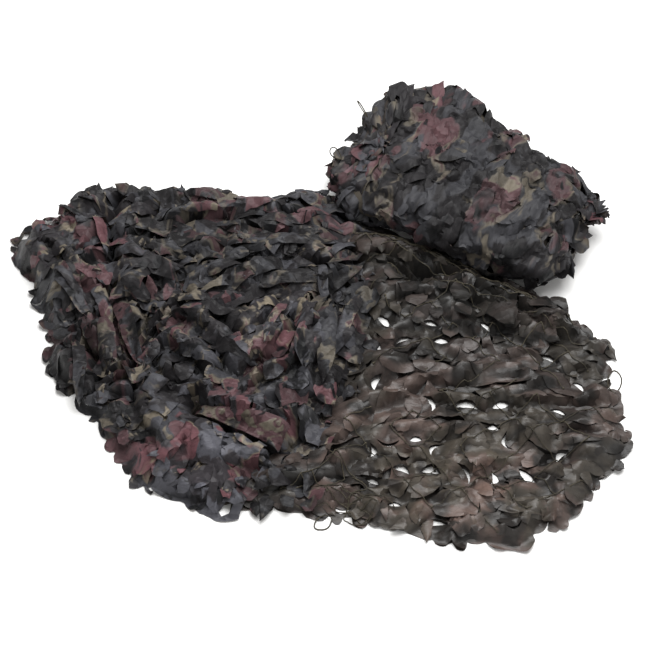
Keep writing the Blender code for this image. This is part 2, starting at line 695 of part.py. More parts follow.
def main():
    clear_scene()
    net_whole = bpy.data.objects.new("camouflage_net", None)
    bpy.context.scene.collection.objects.link(net_whole)
    back = make_material("garnish_cloth_back", CLOTH_BACK, 0.62)
    print_side = make_material("garnish_cloth_print", CLOTH_PRINT, 0.60)
    cord = make_material("net_cord", CORD_GREEN, 0.70)
    laid = make_laid_cloth(net_whole, back)
    rolled = make_rolled_cloth(net_whole, print_side)
    carrier = make_carrier_net(net_whole, cord, laid)
    laid_tree = surface_tree(laid)
    roll_tree = surface_tree(rolled)
    loops = [make_edge_loop(loop, cord, net_whole, laid_tree) for loop in EDGE_LOOPS]
    loops += [make_roll_loop(loop, cord, net_whole, roll_tree) for loop in ROLL_LOOPS]
    shade_smooth(rolled, 50)
    centre_on_origin(net_whole, [laid, rolled, carrier] + loops)


main()
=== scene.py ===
# A camouflage net: cut garnish cloth tied on a net of cord. Its left stretch is turned back over itself with
# the printed face up, its right stretch lies back side up, and its far end is rolled and rests on top.
import json
import math
import random

import bmesh
import bpy
from mathutils import Matrix, Vector, noise
from mathutils.bvhtree import BVHTree
from mathutils.geometry import delaunay_2d_cdt

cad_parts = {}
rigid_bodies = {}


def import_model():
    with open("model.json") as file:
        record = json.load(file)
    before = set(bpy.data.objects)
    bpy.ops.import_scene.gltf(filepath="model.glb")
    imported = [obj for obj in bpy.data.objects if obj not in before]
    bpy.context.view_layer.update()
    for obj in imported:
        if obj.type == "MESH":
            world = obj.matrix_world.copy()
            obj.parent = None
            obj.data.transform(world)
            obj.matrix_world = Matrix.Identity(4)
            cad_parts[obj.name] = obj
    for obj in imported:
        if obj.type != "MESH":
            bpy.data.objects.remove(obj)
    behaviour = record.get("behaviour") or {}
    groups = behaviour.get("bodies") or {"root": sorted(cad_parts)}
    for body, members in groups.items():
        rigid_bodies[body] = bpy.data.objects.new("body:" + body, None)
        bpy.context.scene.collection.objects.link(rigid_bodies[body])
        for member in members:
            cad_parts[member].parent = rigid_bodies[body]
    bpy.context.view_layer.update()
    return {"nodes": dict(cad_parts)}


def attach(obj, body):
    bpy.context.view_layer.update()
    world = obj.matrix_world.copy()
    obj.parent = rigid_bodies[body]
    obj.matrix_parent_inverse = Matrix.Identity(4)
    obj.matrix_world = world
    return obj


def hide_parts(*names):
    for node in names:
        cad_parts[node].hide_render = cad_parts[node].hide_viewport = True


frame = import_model()
cadNodes = frame["nodes"]
planShift = Vector((0.02675, -0.01291, 0.0))  # where the plan's own zero lies in the row frame
floorGap = 0.0014  # the lowest that the upper cloth comes
innerGap = 0.0005  # the lowest that the cloth under it comes


# ---- camera and light

cameraSetup = {
    "target": planShift,
    "distance": 3.2,
    "elevation": 55.0,
    "lens": 93.86,
    "sensor": 36.0,
}
lightSetup = {
    # name, power, size and place
    "lamps": [("overhead", 86.0, 2.2, (0.34, 0.44, 2.12)), ("front", 7.0, 1.6, (0.9, -2.2, 1.5))],
    "worldColour": (1.0, 0.985, 0.97, 1.0),
    "worldStrength": 0.42,
    "floorColour": (0.93, 0.93, 0.92, 1.0),
    "floorRoughness": 0.9,
    "floorSpecular": 0.1,
    "floorSize": 9.0,
}


def linkObject(thing):
    bpy.context.scene.collection.objects.link(thing)
    return thing


def aimAt(thing, place, target):
    thing.location = place
    thing.rotation_euler = (Vector(target) - Vector(place)).to_track_quat("-Z", "Y").to_euler()


def addCamera(setup):
    data = bpy.data.cameras.new("camera")
    data.lens = setup["lens"]
    data.sensor_width = setup["sensor"]
    camera = linkObject(bpy.data.objects.new("camera", data))
    tilt = math.radians(setup["elevation"])
    back = Vector((0.0, -math.cos(tilt), math.sin(tilt)))
    target = Vector(setup["target"])
    aimAt(camera, target + back * setup["distance"], target)
    bpy.context.scene.camera = camera


def addAreaLight(name, power, size, place):
    data = bpy.data.lights.new(name, "AREA")
    data.shape = "DISK"
    data.energy = power
    data.size = size
    light = linkObject(bpy.data.objects.new(name, data))
    aimAt(light, place, (0.0, 0.0, 0.0))


def addStage(setup):
    world = bpy.data.worlds.new("softWorld")
    bpy.context.scene.world = world
    world.use_nodes = True
    background = world.node_tree.nodes["Background"]
    background.inputs["Color"].default_value = setup["worldColour"]
    background.inputs["Strength"].default_value = setup["worldStrength"]
    for lamp in setup["lamps"]:
        addAreaLight(*lamp)
    half = setup["floorSize"] / 2
    mesh = bpy.data.meshes.new("floor")
    corners = [(-half, -half, 0), (half, -half, 0), (half, half, 0), (-half, half, 0)]
    mesh.from_pydata(corners, [], [(0, 1, 2, 3)])
    floor = linkObject(bpy.data.objects.new("floor", mesh))
    material = bpy.data.materials.new("paleFloor")
    material.use_nodes = True
    shader = material.node_tree.nodes["Principled BSDF"]
    shader.inputs["Base Color"].default_value = setup["floorColour"]
    shader.inputs["Roughness"].default_value = setup["floorRoughness"]
    shader.inputs["Specular IOR Level"].default_value = setup["floorSpecular"]
    mesh.materials.append(material)


addCamera(cameraSetup)
addStage(lightSetup)
bpy.context.scene.view_settings.view_transform = "Standard"
print("camera and light are set")


# ---- small helpers for node trees

def newNode(tree, kind, settings=None, **values):
    # values name the node's inputs, with _ for a space; a socket is linked and anything else is set
    node = tree.nodes.new(kind)
    for name, value in (settings or {}).items():
        setattr(node, name, value)
    for name, value in values.items():
        setInput(tree, node, name.replace("_", " "), value)
    return node


def setInput(tree, node, name, value):
    socket = node.inputs[int(name[1:])] if name[0] == "i" and name[1:].isdigit() else pickInput(node, name)
    if isinstance(value, bpy.types.NodeSocket):
        tree.links.new(value, socket)
    else:
        socket.default_value = value


def pickInput(node, name):
    for socket in node.inputs:
        if socket.name == name and socket.enabled:
            return socket
    raise KeyError(f"{node.bl_idname} has no input {name}")


def pickOutput(node, name=None):
    for socket in node.outputs:
        if socket.enabled and (name is None or socket.name == name):
            return socket
    raise KeyError(f"{node.bl_idname} has no output {name}")


def mathNode(tree, operation, first, second=0.0, third=0.0):
    node = tree.nodes.new("ShaderNodeMath")
    node.operation = operation
    for k, value in enumerate((first, second, third)):
        setInput(tree, node, f"i{k}", value)
    return node.outputs[0]


def vectorNode(tree, operation, first, second=None, scale=None):
    node = tree.nodes.new("ShaderNodeVectorMath")
    node.operation = operation
    setInput(tree, node, "i0", first)
    if second is not None:
        setInput(tree, node, "i1", second)
    if scale is not None:
        setInput(tree, node, "i3", scale)
    return node.outputs["Value" if operation in ("DOT_PRODUCT", "LENGTH", "DISTANCE") else "Vector"]


def newGroup(name, kind, inputs, outputs):
    # a group and its two end nodes; each row is name, kind and, for an input, its first value
    tree = bpy.data.node_groups.new(name, kind)
    for socketName, socketKind, value in inputs:
        socket = tree.interface.new_socket(socketName, in_out="INPUT", socket_type="NodeSocket" + socketKind)
        if value is not None:
            socket.default_value = value
    for socketName, socketKind in outputs:
        tree.interface.new_socket(socketName, in_out="OUTPUT", socket_type="NodeSocket" + socketKind)
    return tree, tree.nodes.new("NodeGroupInput").outputs, tree.nodes.new("NodeGroupOutput")


def shrunk(tree, vector, size):
    # the vector in units of this size
    return vectorNode(tree, "SCALE", vector, scale=mathNode(tree, "DIVIDE", 1.0, size))


def noiseNode(tree, vector, scale, detail, settings=None, **values):
    node = newNode(tree, "ShaderNodeTexNoise", settings, Scale=scale, Detail=detail, **values)
    tree.links.new(vector, node.inputs["Vector"])
    return node


def mixColours(tree, share, first, second):
    mix = newNode(tree, "ShaderNodeMix", {"data_type": "RGBA"}, Factor=share, A=first, B=second)
    return pickOutput(mix, "Result")


def readAttribute(tree, name, output="Fac"):
    return newNode(tree, "ShaderNodeAttribute", {"attribute_name": name}).outputs[output]


def patchShare(tree, value, level, soft):
    # 1 where the value is above the level, 0 below it, with a soft border
    share = newNode(tree, "ShaderNodeMapRange", {"interpolation_type": "SMOOTHSTEP"}, Value=value,
                    From_Min=level - soft, From_Max=level + soft)
    return share.outputs[0]


def tone(code):
    # a screen colour such as 5a3f46 as linear light
    parts = [int(code[k:k + 2], 16) / 255 for k in (0, 2, 4)]
    return tuple(p / 12.92 if p <= 0.04045 else ((p + 0.055) / 1.055) ** 2.4 for p in parts) + (1.0,)


# ---- shader groups

printSetup = {
    "colours": {"Ground": tone("201e20"), "Slate": tone("39393d"), "Maroon": tone("4c3639"),
                "Khaki": tone("615a4f"), "Night": tone("121214")},
    "blotchSize": 0.074,
    "stretch": (0.8, 1.15, 1.0),
    "drift": (1.6, 1.3),  # scale and strength of the warp
    # colour, place, scale, level above which it shows, and how far outside its patches a khaki rim starts
    "layers": [("Slate", (3.1, 0.4, 7.7), 0.9, 0.520, 0.0), ("Maroon", (9.3, 5.2, 1.1), 0.85, 0.588, 0.034),
               ("Khaki", (2.2, 8.1, 4.9), 1.10, 0.634, 0.0), ("Night", (6.6, 1.7, 3.3), 1.4, 0.627, 0.0)],
    "raggedness": 0.48,
    "border": 0.024,
    # place, scale, level and border of what breaks the rims up
    "rimBreaks": ((5.0, 5.0, 2.0), 0.9, 0.52, 0.05),
    "wear": (7.0, 0.9, 0.55),  # scale, strength and least brightness
}
backSetup = {
    "colours": {"Brown": tone("443a36"), "Olive": tone("34302b"), "Dark": tone("1e1b19")},
    "patchSize": 0.080,
    # colour, place, scale, level above which it shows and border
    "layers": [("Olive", (4.0, 1.0, 2.0), 0.9, 0.51, 0.06), ("Dark", (1.0, 7.0, 5.0), 1.2, 0.56, 0.05)],
    "streaks": (0.6, 2.0, 1.0),
    "wear": (2.0, 1.1, 0.45),
}
reliefSetup = {
    "creaseSize": 0.016,
    "creaseWarp": (0.5, 1.5),  # scale and strength of the warp
    "creaseLook": (0.9, 2.0, 0.55),  # scale, detail and raggedness
    "facets": [(0.022, 1.7), (0.009, 5.3)],  # size and place of each set
    "facetWarp": (0.7, 0.8),
    "thread": 0.0006,
    "wavesPerThread": 0.314,
    "threadWarp": 0.4,
}


def colourInputs(setup, size):
    return ([("Vector", "Vector", None), ("Size", "Float", size)]
            + [(name, "Color", colour) for name, colour in setup["colours"].items()])


def wornColour(tree, colour, noise, wear):
    return newNode(tree, "ShaderNodeHueSaturation", None, Color=colour,
                   Value=mathNode(tree, "MULTIPLY_ADD", noise.outputs["Fac"], *wear)).outputs["Color"]


def printGroup(setup):
    tree, given, leave = newGroup("camouflagePrint", "ShaderNodeTree",
                                  colourInputs(setup, setup["blotchSize"]) + [("Lean", "Float", 0.0)],
                                  [("Color", "Color")])
    stretched = vectorNode(tree, "MULTIPLY", shrunk(tree, given["Vector"], given["Size"]), setup["stretch"])
    scale, strength = setup["drift"]
    drift = noiseNode(tree, stretched, scale, 1.0)
    centred = vectorNode(tree, "SUBTRACT", drift.outputs["Color"], (0.5, 0.5, 0.5))
    warped = vectorNode(tree, "ADD", stretched, vectorNode(tree, "SCALE", centred, scale=strength))
    colour = given["Ground"]
    place, scale, level, soft = setup["rimBreaks"]
    breaks = noiseNode(tree, vectorNode(tree, "ADD", warped, place), scale, 1.0)
    broken = patchShare(tree, breaks.outputs["Fac"], level, soft)
    for name, place, scale, level, rim in setup["layers"]:
        moved = vectorNode(tree, "ADD", warped, place)
        blotch = noiseNode(tree, moved, scale, 3.0, Roughness=setup["raggedness"])
        value = blotch.outputs["Fac"]
        if rim:
            value = mathNode(tree, "ADD", value, given["Lean"])
            around = patchShare(tree, value, level - rim, setup["border"])
            colour = mixColours(tree, mathNode(tree, "MULTIPLY", around, broken), colour, given["Khaki"])
        colour = mixColours(tree, patchShare(tree, value, level, setup["border"]), colour, given[name])
    scale, *wear = setup["wear"]
    setInput(tree, leave, "Color", wornColour(tree, colour, noiseNode(tree, warped, scale, 3.0), wear))
    return tree


def backGroup(setup):
    tree, given, leave = newGroup("clothBack", "ShaderNodeTree", colourInputs(setup, setup["patchSize"]),
                                  [("Color", "Color")])
    scaled = shrunk(tree, given["Vector"], given["Size"])
    colour = given["Brown"]
    for name, place, scale, level, soft in setup["layers"]:
        patch = noiseNode(tree, vectorNode(tree, "ADD", scaled, place), scale, 2.0)
        colour = mixColours(tree, patchShare(tree, patch.outputs["Fac"], level, soft), colour, given[name])
    scale, *wear = setup["wear"]
    streaks = noiseNode(tree, vectorNode(tree, "MULTIPLY", scaled, setup["streaks"]), scale, 2.0)
    setInput(tree, leave, "Color", wornColour(tree, colour, streaks, wear))
    return tree


def facetHeight(tree, vector, size, shift, stretch):
    # flat facets of crushed cloth: each cell of a Voronoi pattern leans its own way
    scale, strength = reliefSetup["facetWarp"]
    scaled = vectorNode(tree, "MULTIPLY", vectorNode(tree, "SCALE", vector, scale=1 / size), stretch)
    drift = noiseNode(tree, scaled, scale, 0.0)
    moved = vectorNode(tree, "ADD", scaled, vectorNode(tree, "SCALE", drift.outputs["Color"], scale=strength))
    moved = vectorNode(tree, "ADD", moved, (shift, 2 * shift, 0.0))
    cell = newNode(tree, "ShaderNodeTexVoronoi", {"voronoi_dimensions": "2D"}, Vector=moved, Scale=1.0)
    lean = vectorNode(tree, "SUBTRACT", cell.outputs["Color"], (0.5, 0.5, 0.5))
    inside = vectorNode(tree, "SUBTRACT", moved, cell.outputs["Position"])
    return mathNode(tree, "MULTIPLY", vectorNode(tree, "DOT_PRODUCT", lean, inside), size)


def clothReliefGroup(setup):
    # creases and facets of crushed thin cloth, in metres, and its close weave
    tree, given, leave = newGroup(
        "clothRelief", "ShaderNodeTree",
        [("Vector", "Vector", None), ("Crease Size", "Float", setup["creaseSize"]),
         ("Thread", "Float", setup["thread"]), ("Stretch", "Vector", (1.0, 1.0, 1.0))],
        [("Creases", "Float"), ("Facets", "Float"), ("Weave", "Float")],
    )
    scaled = shrunk(tree, given["Vector"], given["Crease Size"])
    scale, strength = setup["creaseWarp"]
    soft = noiseNode(tree, scaled, scale, 1.0)
    moved = vectorNode(tree, "ADD", scaled, vectorNode(tree, "SCALE", soft.outputs["Color"], scale=strength))
    scale, detail, raggedness = setup["creaseLook"]
    ridge = noiseNode(tree, moved, scale, detail, {"noise_type": "RIDGED_MULTIFRACTAL"}, Roughness=raggedness)
    setInput(tree, leave, "Creases", ridge.outputs["Fac"])
    large, small = (facetHeight(tree, given["Vector"], size, shift, given["Stretch"])
                    for size, shift in setup["facets"])
    setInput(tree, leave, "Facets", mathNode(tree, "ADD", large, small))
    perMetre = mathNode(tree, "DIVIDE", setup["wavesPerThread"], given["Thread"])
    threads = []
    for direction in ("X", "Y"):
        scaled = vectorNode(tree, "SCALE", given["Vector"], scale=perMetre)
        waves = newNode(tree, "ShaderNodeTexWave", {"bands_direction": direction},
                        Distortion=setup["threadWarp"], Detail=1.0, Vector=scaled)
        threads.append(waves.outputs["Fac"])
    setInput(tree, leave, "Weave", mathNode(tree, "MULTIPLY", *threads))
    return tree


camouflagePrint = printGroup(printSetup)
clothBack = backGroup(backSetup)
clothRelief = clothReliefGroup(reliefSetup)


# ---- materials

clothSetup = {
    "sheen": 0.03,
    "sheenRoughness": 0.45,
    "creaseDepth": 0.0016,
    "creaseGloss": 0.08,  # how much the roughness changes from hollow to crest, each way
    # painted shade in the fold valleys: the share of brightness taken from the deepest points
    "valleyShade": 0.6,
    "toneShare": (0.7, 0.65),  # how the leaf's tone sets brightness: strength and least
    "toneColour": (0.2, 0.9),  # and how it sets saturation
    "threadDepth": 0.00004,
}
clothKinds = {
    # print up, depth of the facets, roughness, specular, stretch of the facets and of the print
    "printedCloth": (True, 0.60, 0.48, 0.26, (0.7, 1.0, 1.0), (1.2, 0.8, 1.0)),
    "rollCover": (True, 0.35, 0.50, 0.22, (1.2, 0.5, 1.0), (1.3, 0.52, 1.0)),
    "backCloth": (False, 0.22, 0.38, 0.42, (0.4, 1.0, 1.0), (0.8, 1.2, 1.0)),
    "pleatBack": (False, 0.45, 0.50, 0.24, (0.4, 1.0, 1.0), (0.8, 1.2, 1.0)),
}
cordSetup = {
    "dark": tone("1f1e19"),
    "light": tone("4a4437"),
    "fleck": (260.0, 2.0, 0.6),  # scale, detail and share
    "wander": (22.0, 1.0, 0.5),
    "blend": (0.35, 0.72),
    "fleckDepth": 0.0004,
    "roughness": 0.72,
    "specular": 0.3,
}


def placeGroup(tree, group, **values):
    node = newNode(tree, "ShaderNodeGroup", {"node_tree": group})
    for name, value in values.items():
        setInput(tree, node, name, value)
    return node.outputs


def newMaterial(name):
    material = bpy.data.materials.new(name)
    material.use_nodes = True
    tree = material.node_tree
    return material, tree, tree.nodes["Principled BSDF"]


def clothMaterial(name, printUp, facetDepth, roughness, specular, facetStretch, printStretch):
    # the face that is up shows the print or the plain back, and the other face shows the other;
    # clothPlace is the place on the flat cloth, so print and weave follow the folds
    material, tree, shader = newMaterial(name)
    place = readAttribute(tree, "clothPlace", "Vector")
    drawn = vectorNode(tree, "MULTIPLY", place, printStretch)
    printed = placeGroup(tree, camouflagePrint, Vector=drawn, Lean=readAttribute(tree, "printLean"))["Color"]
    plain = placeGroup(tree, clothBack, Vector=drawn)["Color"]
    away = newNode(tree, "ShaderNodeNewGeometry").outputs["Backfacing"]
    colour = mixColours(tree, away, *((printed, plain) if printUp else (plain, printed)))
    # each leaf's tone holds its random tone plus painted light and shade; the brightness also takes painted
    # shade in the fold valleys
    level = readAttribute(tree, "leafTone")
    brightness = mathNode(tree, "MULTIPLY", mathNode(tree, "MULTIPLY_ADD", level, *clothSetup["toneShare"]),
                          mathNode(tree, "MULTIPLY_ADD", readAttribute(tree, "foldDepth"),
                                   -clothSetup["valleyShade"], 1.0))
    lit = newNode(tree, "ShaderNodeHueSaturation", None, Color=colour, Value=brightness,
                  Saturation=mathNode(tree, "MULTIPLY_ADD", level, *clothSetup["toneColour"]))
    relief = placeGroup(tree, clothRelief, Vector=place, Stretch=facetStretch)
    below = {}
    for height, depth in (("Weave", clothSetup["threadDepth"]), ("Creases", clothSetup["creaseDepth"]),
                          ("Facets", facetDepth)):
        bump = newNode(tree, "ShaderNodeBump", None, Height=relief[height], Distance=depth, **below)
        below = {"Normal": bump.outputs["Normal"]}
    gloss = newNode(tree, "ShaderNodeMapRange", None, Value=relief["Creases"],
                    To_Min=roughness + clothSetup["creaseGloss"],
                    To_Max=roughness - clothSetup["creaseGloss"])
    for socket, value in (("Normal", below["Normal"]), ("Base Color", lit.outputs["Color"]),
                          ("Roughness", gloss.outputs[0]), ("Specular IOR Level", specular),
                          ("Sheen Weight", clothSetup["sheen"]),
                          ("Sheen Roughness", clothSetup["sheenRoughness"])):
        setInput(tree, shader, socket, value)
    return material


def cordMaterial(name, setup):
    # cord with light and dark flecks, which change slowly from place to place
    material, tree, shader = newMaterial(name)
    place = newNode(tree, "ShaderNodeTexCoord").outputs["Object"]
    fleck, wander = (noiseNode(tree, place, *setup[kind][:2]).outputs["Fac"] for kind in ("fleck", "wander"))
    blend = mathNode(tree, "MULTIPLY_ADD", fleck, setup["fleck"][2],
                     mathNode(tree, "MULTIPLY", wander, setup["wander"][2]))
    low, high = setup["blend"]
    share = newNode(tree, "ShaderNodeMapRange", None, Value=blend, From_Min=low, From_Max=high)
    bump = newNode(tree, "ShaderNodeBump", None, Height=fleck, Distance=setup["fleckDepth"])
    for socket, value in (("Base Color", mixColours(tree, share.outputs[0], setup["dark"], setup["light"])),
                          ("Normal", bump.outputs["Normal"]), ("Roughness", setup["roughness"]),
                          ("Specular IOR Level", setup["specular"])):
        setInput(tree, shader, socket, value)
    return material


printedCloth, rollCover, backCloth, pleatBack = (
    clothMaterial(name, *row) for name, row in clothKinds.items())
netCord = cordMaterial("netCord", cordSetup)
print("materials are made")


# ---- shape helpers

def ease(t):
    t = min(max(t, 0.0), 1.0)
    return t * t * (3 - 2 * t)


def ripple(x, y, size, seed):
    return noise.noise(Vector((x / size, y / size, seed)))


def segmentDistance(x, y, start, end):
    dx = end[0] - start[0]
    dy = end[1] - start[1]
    share = ((x - start[0]) * dx + (y - start[1]) * dy) / max(dx * dx + dy * dy, 1e-12)
    share = min(max(share, 0.0), 1.0)
    return math.hypot(x - start[0] - share * dx, y - start[1] - share * dy)


def pathDistance(x, y, path):
    return min(segmentDistance(x, y, a, b) for a, b in zip(path, path[1:]))


def crossedOdd(x, y, edges):
    # whether a line to the right from here crosses an odd number of these edges
    found = False
    for ax, ay, bx, by in edges:
        if (ay > y) != (by > y) and x < ax + (y - ay) * (bx - ax) / (by - ay):
            found = not found
    return found


def insideArea(x, y, polygon):
    return crossedOdd(x, y, ((*a, *b) for a, b in zip(polygon, polygon[1:] + polygon[:1])))


class AreaRows:
    # outlines with their edges sorted into rows, to find quickly what lies inside; an inner one is a hole
    def __init__(self, outlines, pitch=0.008):
        self.pitch = pitch
        self.rows = {}
        for outline in outlines:
            for (ax, ay), (bx, by) in zip(outline, outline[1:] + outline[:1]):
                for row in range(int(min(ay, by) // pitch), int(max(ay, by) // pitch) + 1):
                    self.rows.setdefault(row, []).append((ax, ay, bx, by))

    def holds(self, x, y):
        return crossedOdd(x, y, self.rows.get(int(y // self.pitch), ()))


def boxOf(path):
    xs = [x for x, _ in path]
    ys = [y for _, y in path]
    return min(xs), max(xs), min(ys), max(ys)


def metres(rows, *columns):
    # these rows with some columns, otherwise the first two, turned from millimetres to metres,
    # which every length outside metres() is in
    columns = columns or (0, 1)
    return [tuple(value / 1000 if k in columns else value for k, value in enumerate(row)) for row in rows]


def shifted(path):
    return [(x + planShift.x, y + planShift.y) for x, y in path]


def mergedCopy(node):
    bm = bmesh.new()
    bm.from_mesh(cadNodes[node].data)
    bmesh.ops.remove_doubles(bm, verts=bm.verts, dist=1e-5)
    return bm


def heightsBelow(tree, x, y):
    # every height at which the cloth's faces cross this place, from the top down
    found = []
    start = Vector((x, y, 1.0))
    down = Vector((0, 0, -1))
    while len(found) < 8:
        hit = tree.ray_cast(start, down)[0]
        if hit is None:
            break
        found.append(hit.z)
        start = hit - Vector((0, 0, 1e-5))
    return found


def meshObject(name, bm, material):
    mesh = bpy.data.meshes.new(name)
    bm.to_mesh(mesh)
    bm.free()
    mesh.shade_smooth()
    mesh.materials.append(material)
    return linkObject(bpy.data.objects.new(name, mesh))


def settle(thing):
    # the evaluated shape becomes the object's own plain mesh
    graph = bpy.context.evaluated_depsgraph_get()
    mesh = bpy.data.meshes.new_from_object(thing.evaluated_get(graph))
    thing.modifiers.clear()
    thing.data = mesh
    return thing


def subdivide(thing, levels):
    modifier = thing.modifiers.new("Round", "SUBSURF")
    modifier.levels = levels
    modifier.render_levels = levels
    return settle(thing)


def crispen(thing, share, degrees):
    # fewer, larger facets that meet in sharp folds
    modifier = thing.modifiers.new("Facets", "DECIMATE")
    modifier.ratio = share
    settle(thing)
    thing.data.shade_smooth()
    thing.data.set_sharp_from_angle(angle=math.radians(degrees))


def storeVectors(mesh, name, vectors):
    attribute = mesh.attributes.new(name, "FLOAT_VECTOR", "POINT")
    attribute.data.foreach_set("vector", [value for vector in vectors for value in vector])


def storeValues(mesh, name, values, domain="POINT"):
    attribute = mesh.attributes.new(name, "FLOAT", domain)
    attribute.data.foreach_set("value", values)


# ---- the cut leaves: a few outlines, each curled its own way

# base: width where it's joined; widest: where along it; point: 0 round, 1 sharp; twist in degrees
shapeColumns = ("length", "width", "base", "widest", "point", "bend", "cup", "twist", "tip")
leafShapes = [dict(zip(shapeColumns, row)) for row in (
    (0.050, 0.030, 0.80, 0.60, 0.15, 0.006, 0.004, 12, 0.003),
    (0.056, 0.026, 0.75, 0.55, 0.45, 0.008, 0.005, -18, -0.004),
    (0.044, 0.034, 0.70, 0.60, 0.05, 0.004, -0.003, 8, 0.006),
    (0.062, 0.022, 0.70, 0.45, 0.75, 0.009, 0.004, 25, -0.006),
    (0.040, 0.028, 0.90, 0.50, 0.25, 0.003, 0.006, -10, 0.002),
    (0.048, 0.040, 0.60, 0.65, 0.10, 0.010, -0.004, 15, -0.003),
    (0.054, 0.032, 0.85, 0.40, 0.60, 0.005, 0.007, -28, 0.008),
    (0.036, 0.024, 0.80, 0.50, 0.35, 0.006, 0.003, 20, 0.010),
    (0.060, 0.036, 0.65, 0.55, 0.20, 0.012, 0.006, -8, -0.008),
    (0.046, 0.020, 0.90, 0.35, 0.85, 0.007, 0.002, 35, 0.004),
)]
flatness = {"bend": 0.35, "cup": 0.4, "tip": 0.3, "twist": 0.25}  # what flat leaves keep of each
flatShapes = [{key: value * flatness.get(key, 1) for key, value in shape.items()} for shape in leafShapes]
stripShapes = [dict(zip(shapeColumns, row)) for row in (
    (0.125, 0.034, 0.95, 0.50, 0.10, 0.004, 0.002, 8, 0.0),
    (0.150, 0.026, 0.80, 0.45, 0.30, 0.006, -0.002, -6, 0.0),
    (0.100, 0.040, 0.90, 0.55, 0.05, 0.005, 0.003, 10, 0.0),
    (0.138, 0.030, 0.70, 0.60, 0.40, 0.003, 0.003, -12, 0.0),
    (0.088, 0.034, 0.85, 0.40, 0.20, 0.006, -0.003, 14, 0.0),
)]
leafMesh = {
    "across": 5,
    "along": 8,
    "roundPower": 2.6,
    "sharpPower": 1.3,
    "leastWidth": 0.04,  # share of the width left at the tip
    "root": 0.25,  # where along it the leaf is fixed
    "twistFrom": 0.3,
    "roundedEnd": 0.06,
    "crinkle": 0.0022,
    "crinkleSize": 0.016,
    "stray": 0.004,
}


def leafHalfWidth(shape, t):
    widest = shape["widest"]
    if t < widest:
        rise = math.sin(math.pi / 2 * t / widest)
        return shape["width"] / 2 * (shape["base"] + (1 - shape["base"]) * rise)
    rest = (t - widest) / (1 - widest)
    roundTip = math.sqrt(max(0.0, 1 - rest ** leafMesh["roundPower"]))
    sharpTip = 1 - rest ** leafMesh["sharpPower"]
    return shape["width"] / 2 * max(leafMesh["leastWidth"], roundTip + (sharpTip - roundTip) * shape["point"])


def makeLeaf(name, shape, seed, collection, bothEnds):
    across = leafMesh["across"]
    along = leafMesh["along"]
    points = []
    lifts = []
    for j in range(along + 1):
        t = j / along
        turn = math.radians(shape["twist"]) * (t - leafMesh["twistFrom"])
        for i in range(across):
            s = 2 * i / (across - 1) - 1
            aside = s * leafHalfWidth(shape, t)
            up = shape["bend"] * math.sin(math.pi * t) + shape["tip"] * t * t - shape["cup"] * s * s
            up += leafMesh["crinkle"] * ripple(aside, t * shape["length"], leafMesh["crinkleSize"], seed)
            stray = leafMesh["stray"] * ripple(t * 3, seed, 1.0, 5.0)
            x = aside * math.cos(turn) - up * math.sin(turn) + stray
            y = shape["length"] * (t - leafMesh["root"]) * (1 - leafMesh["roundedEnd"] * s * s)
            points.append((x, y, aside * math.sin(turn) + up * math.cos(turn)))
            # a strip goes down into the folds at both ends, a leaf only where it's joined
            lifts.append(1 - 2.2 * abs(2 * t - 1) ** 3 if bothEnds else -1.2 + 2.2 * ease(1.4 * t))
    faces = []
    for j in range(along):
        for i in range(across - 1):
            first = j * across + i
            faces.append((first, first + 1, first + across + 1, first + across))
    mesh = bpy.data.meshes.new(name)
    mesh.from_pydata(points, [], faces)
    storeValues(mesh, "leafLift", lifts)
    mesh.shade_smooth()
    collection.objects.link(bpy.data.objects.new(name, mesh))


def makeLeafSet(name, shapes, bothEnds=False):
    collection = bpy.data.collections.new(name)
    bpy.context.scene.collection.children.link(collection)
    for k, shape in enumerate(shapes):
        makeLeaf(f"{name}{k:02d}", shape, k * 3.7, collection, bothEnds)
    return collection


leafSet = makeLeafSet("leaf", leafShapes)
flatLeafSet = makeLeafSet("flatLeaf", flatShapes)
stripSet = makeLeafSet("strip", stripShapes, True)


# ---- the tree that sets leaves on a cloth

bendSetup = {
    "above": 0.07,  # how far above a leaf the search for its cloth starts
    "search": 0.16,  # and how long it is
    "backTilt": 0.35,  # share of the tilt that a leaf may have the other way
    "wrinkleScale": 70.0,
}
leafInputs = [
    ("Geometry", "Geometry", None), ("Rests On", "Object", None), ("Leaves", "Collection", None),
    ("Material", "Material", None), ("Seed", "Int", 1),
    ("Smallest", "Float", 0.8), ("Largest", "Float", 1.25),
    ("Swing", "Float", 0.8), ("Tilt", "Float", 0.25), ("Roll", "Float", 0.2), ("Lift", "Float", 0.003),
    ("Follow", "Float", 0.85), ("Reach", "Float", 0.030), ("Crinkle", "Float", 0.003),
    ("Print Shift", "Float", 0.012), ("Print Scale", "Vector", (1.0, 1.0, 0.3)),
]


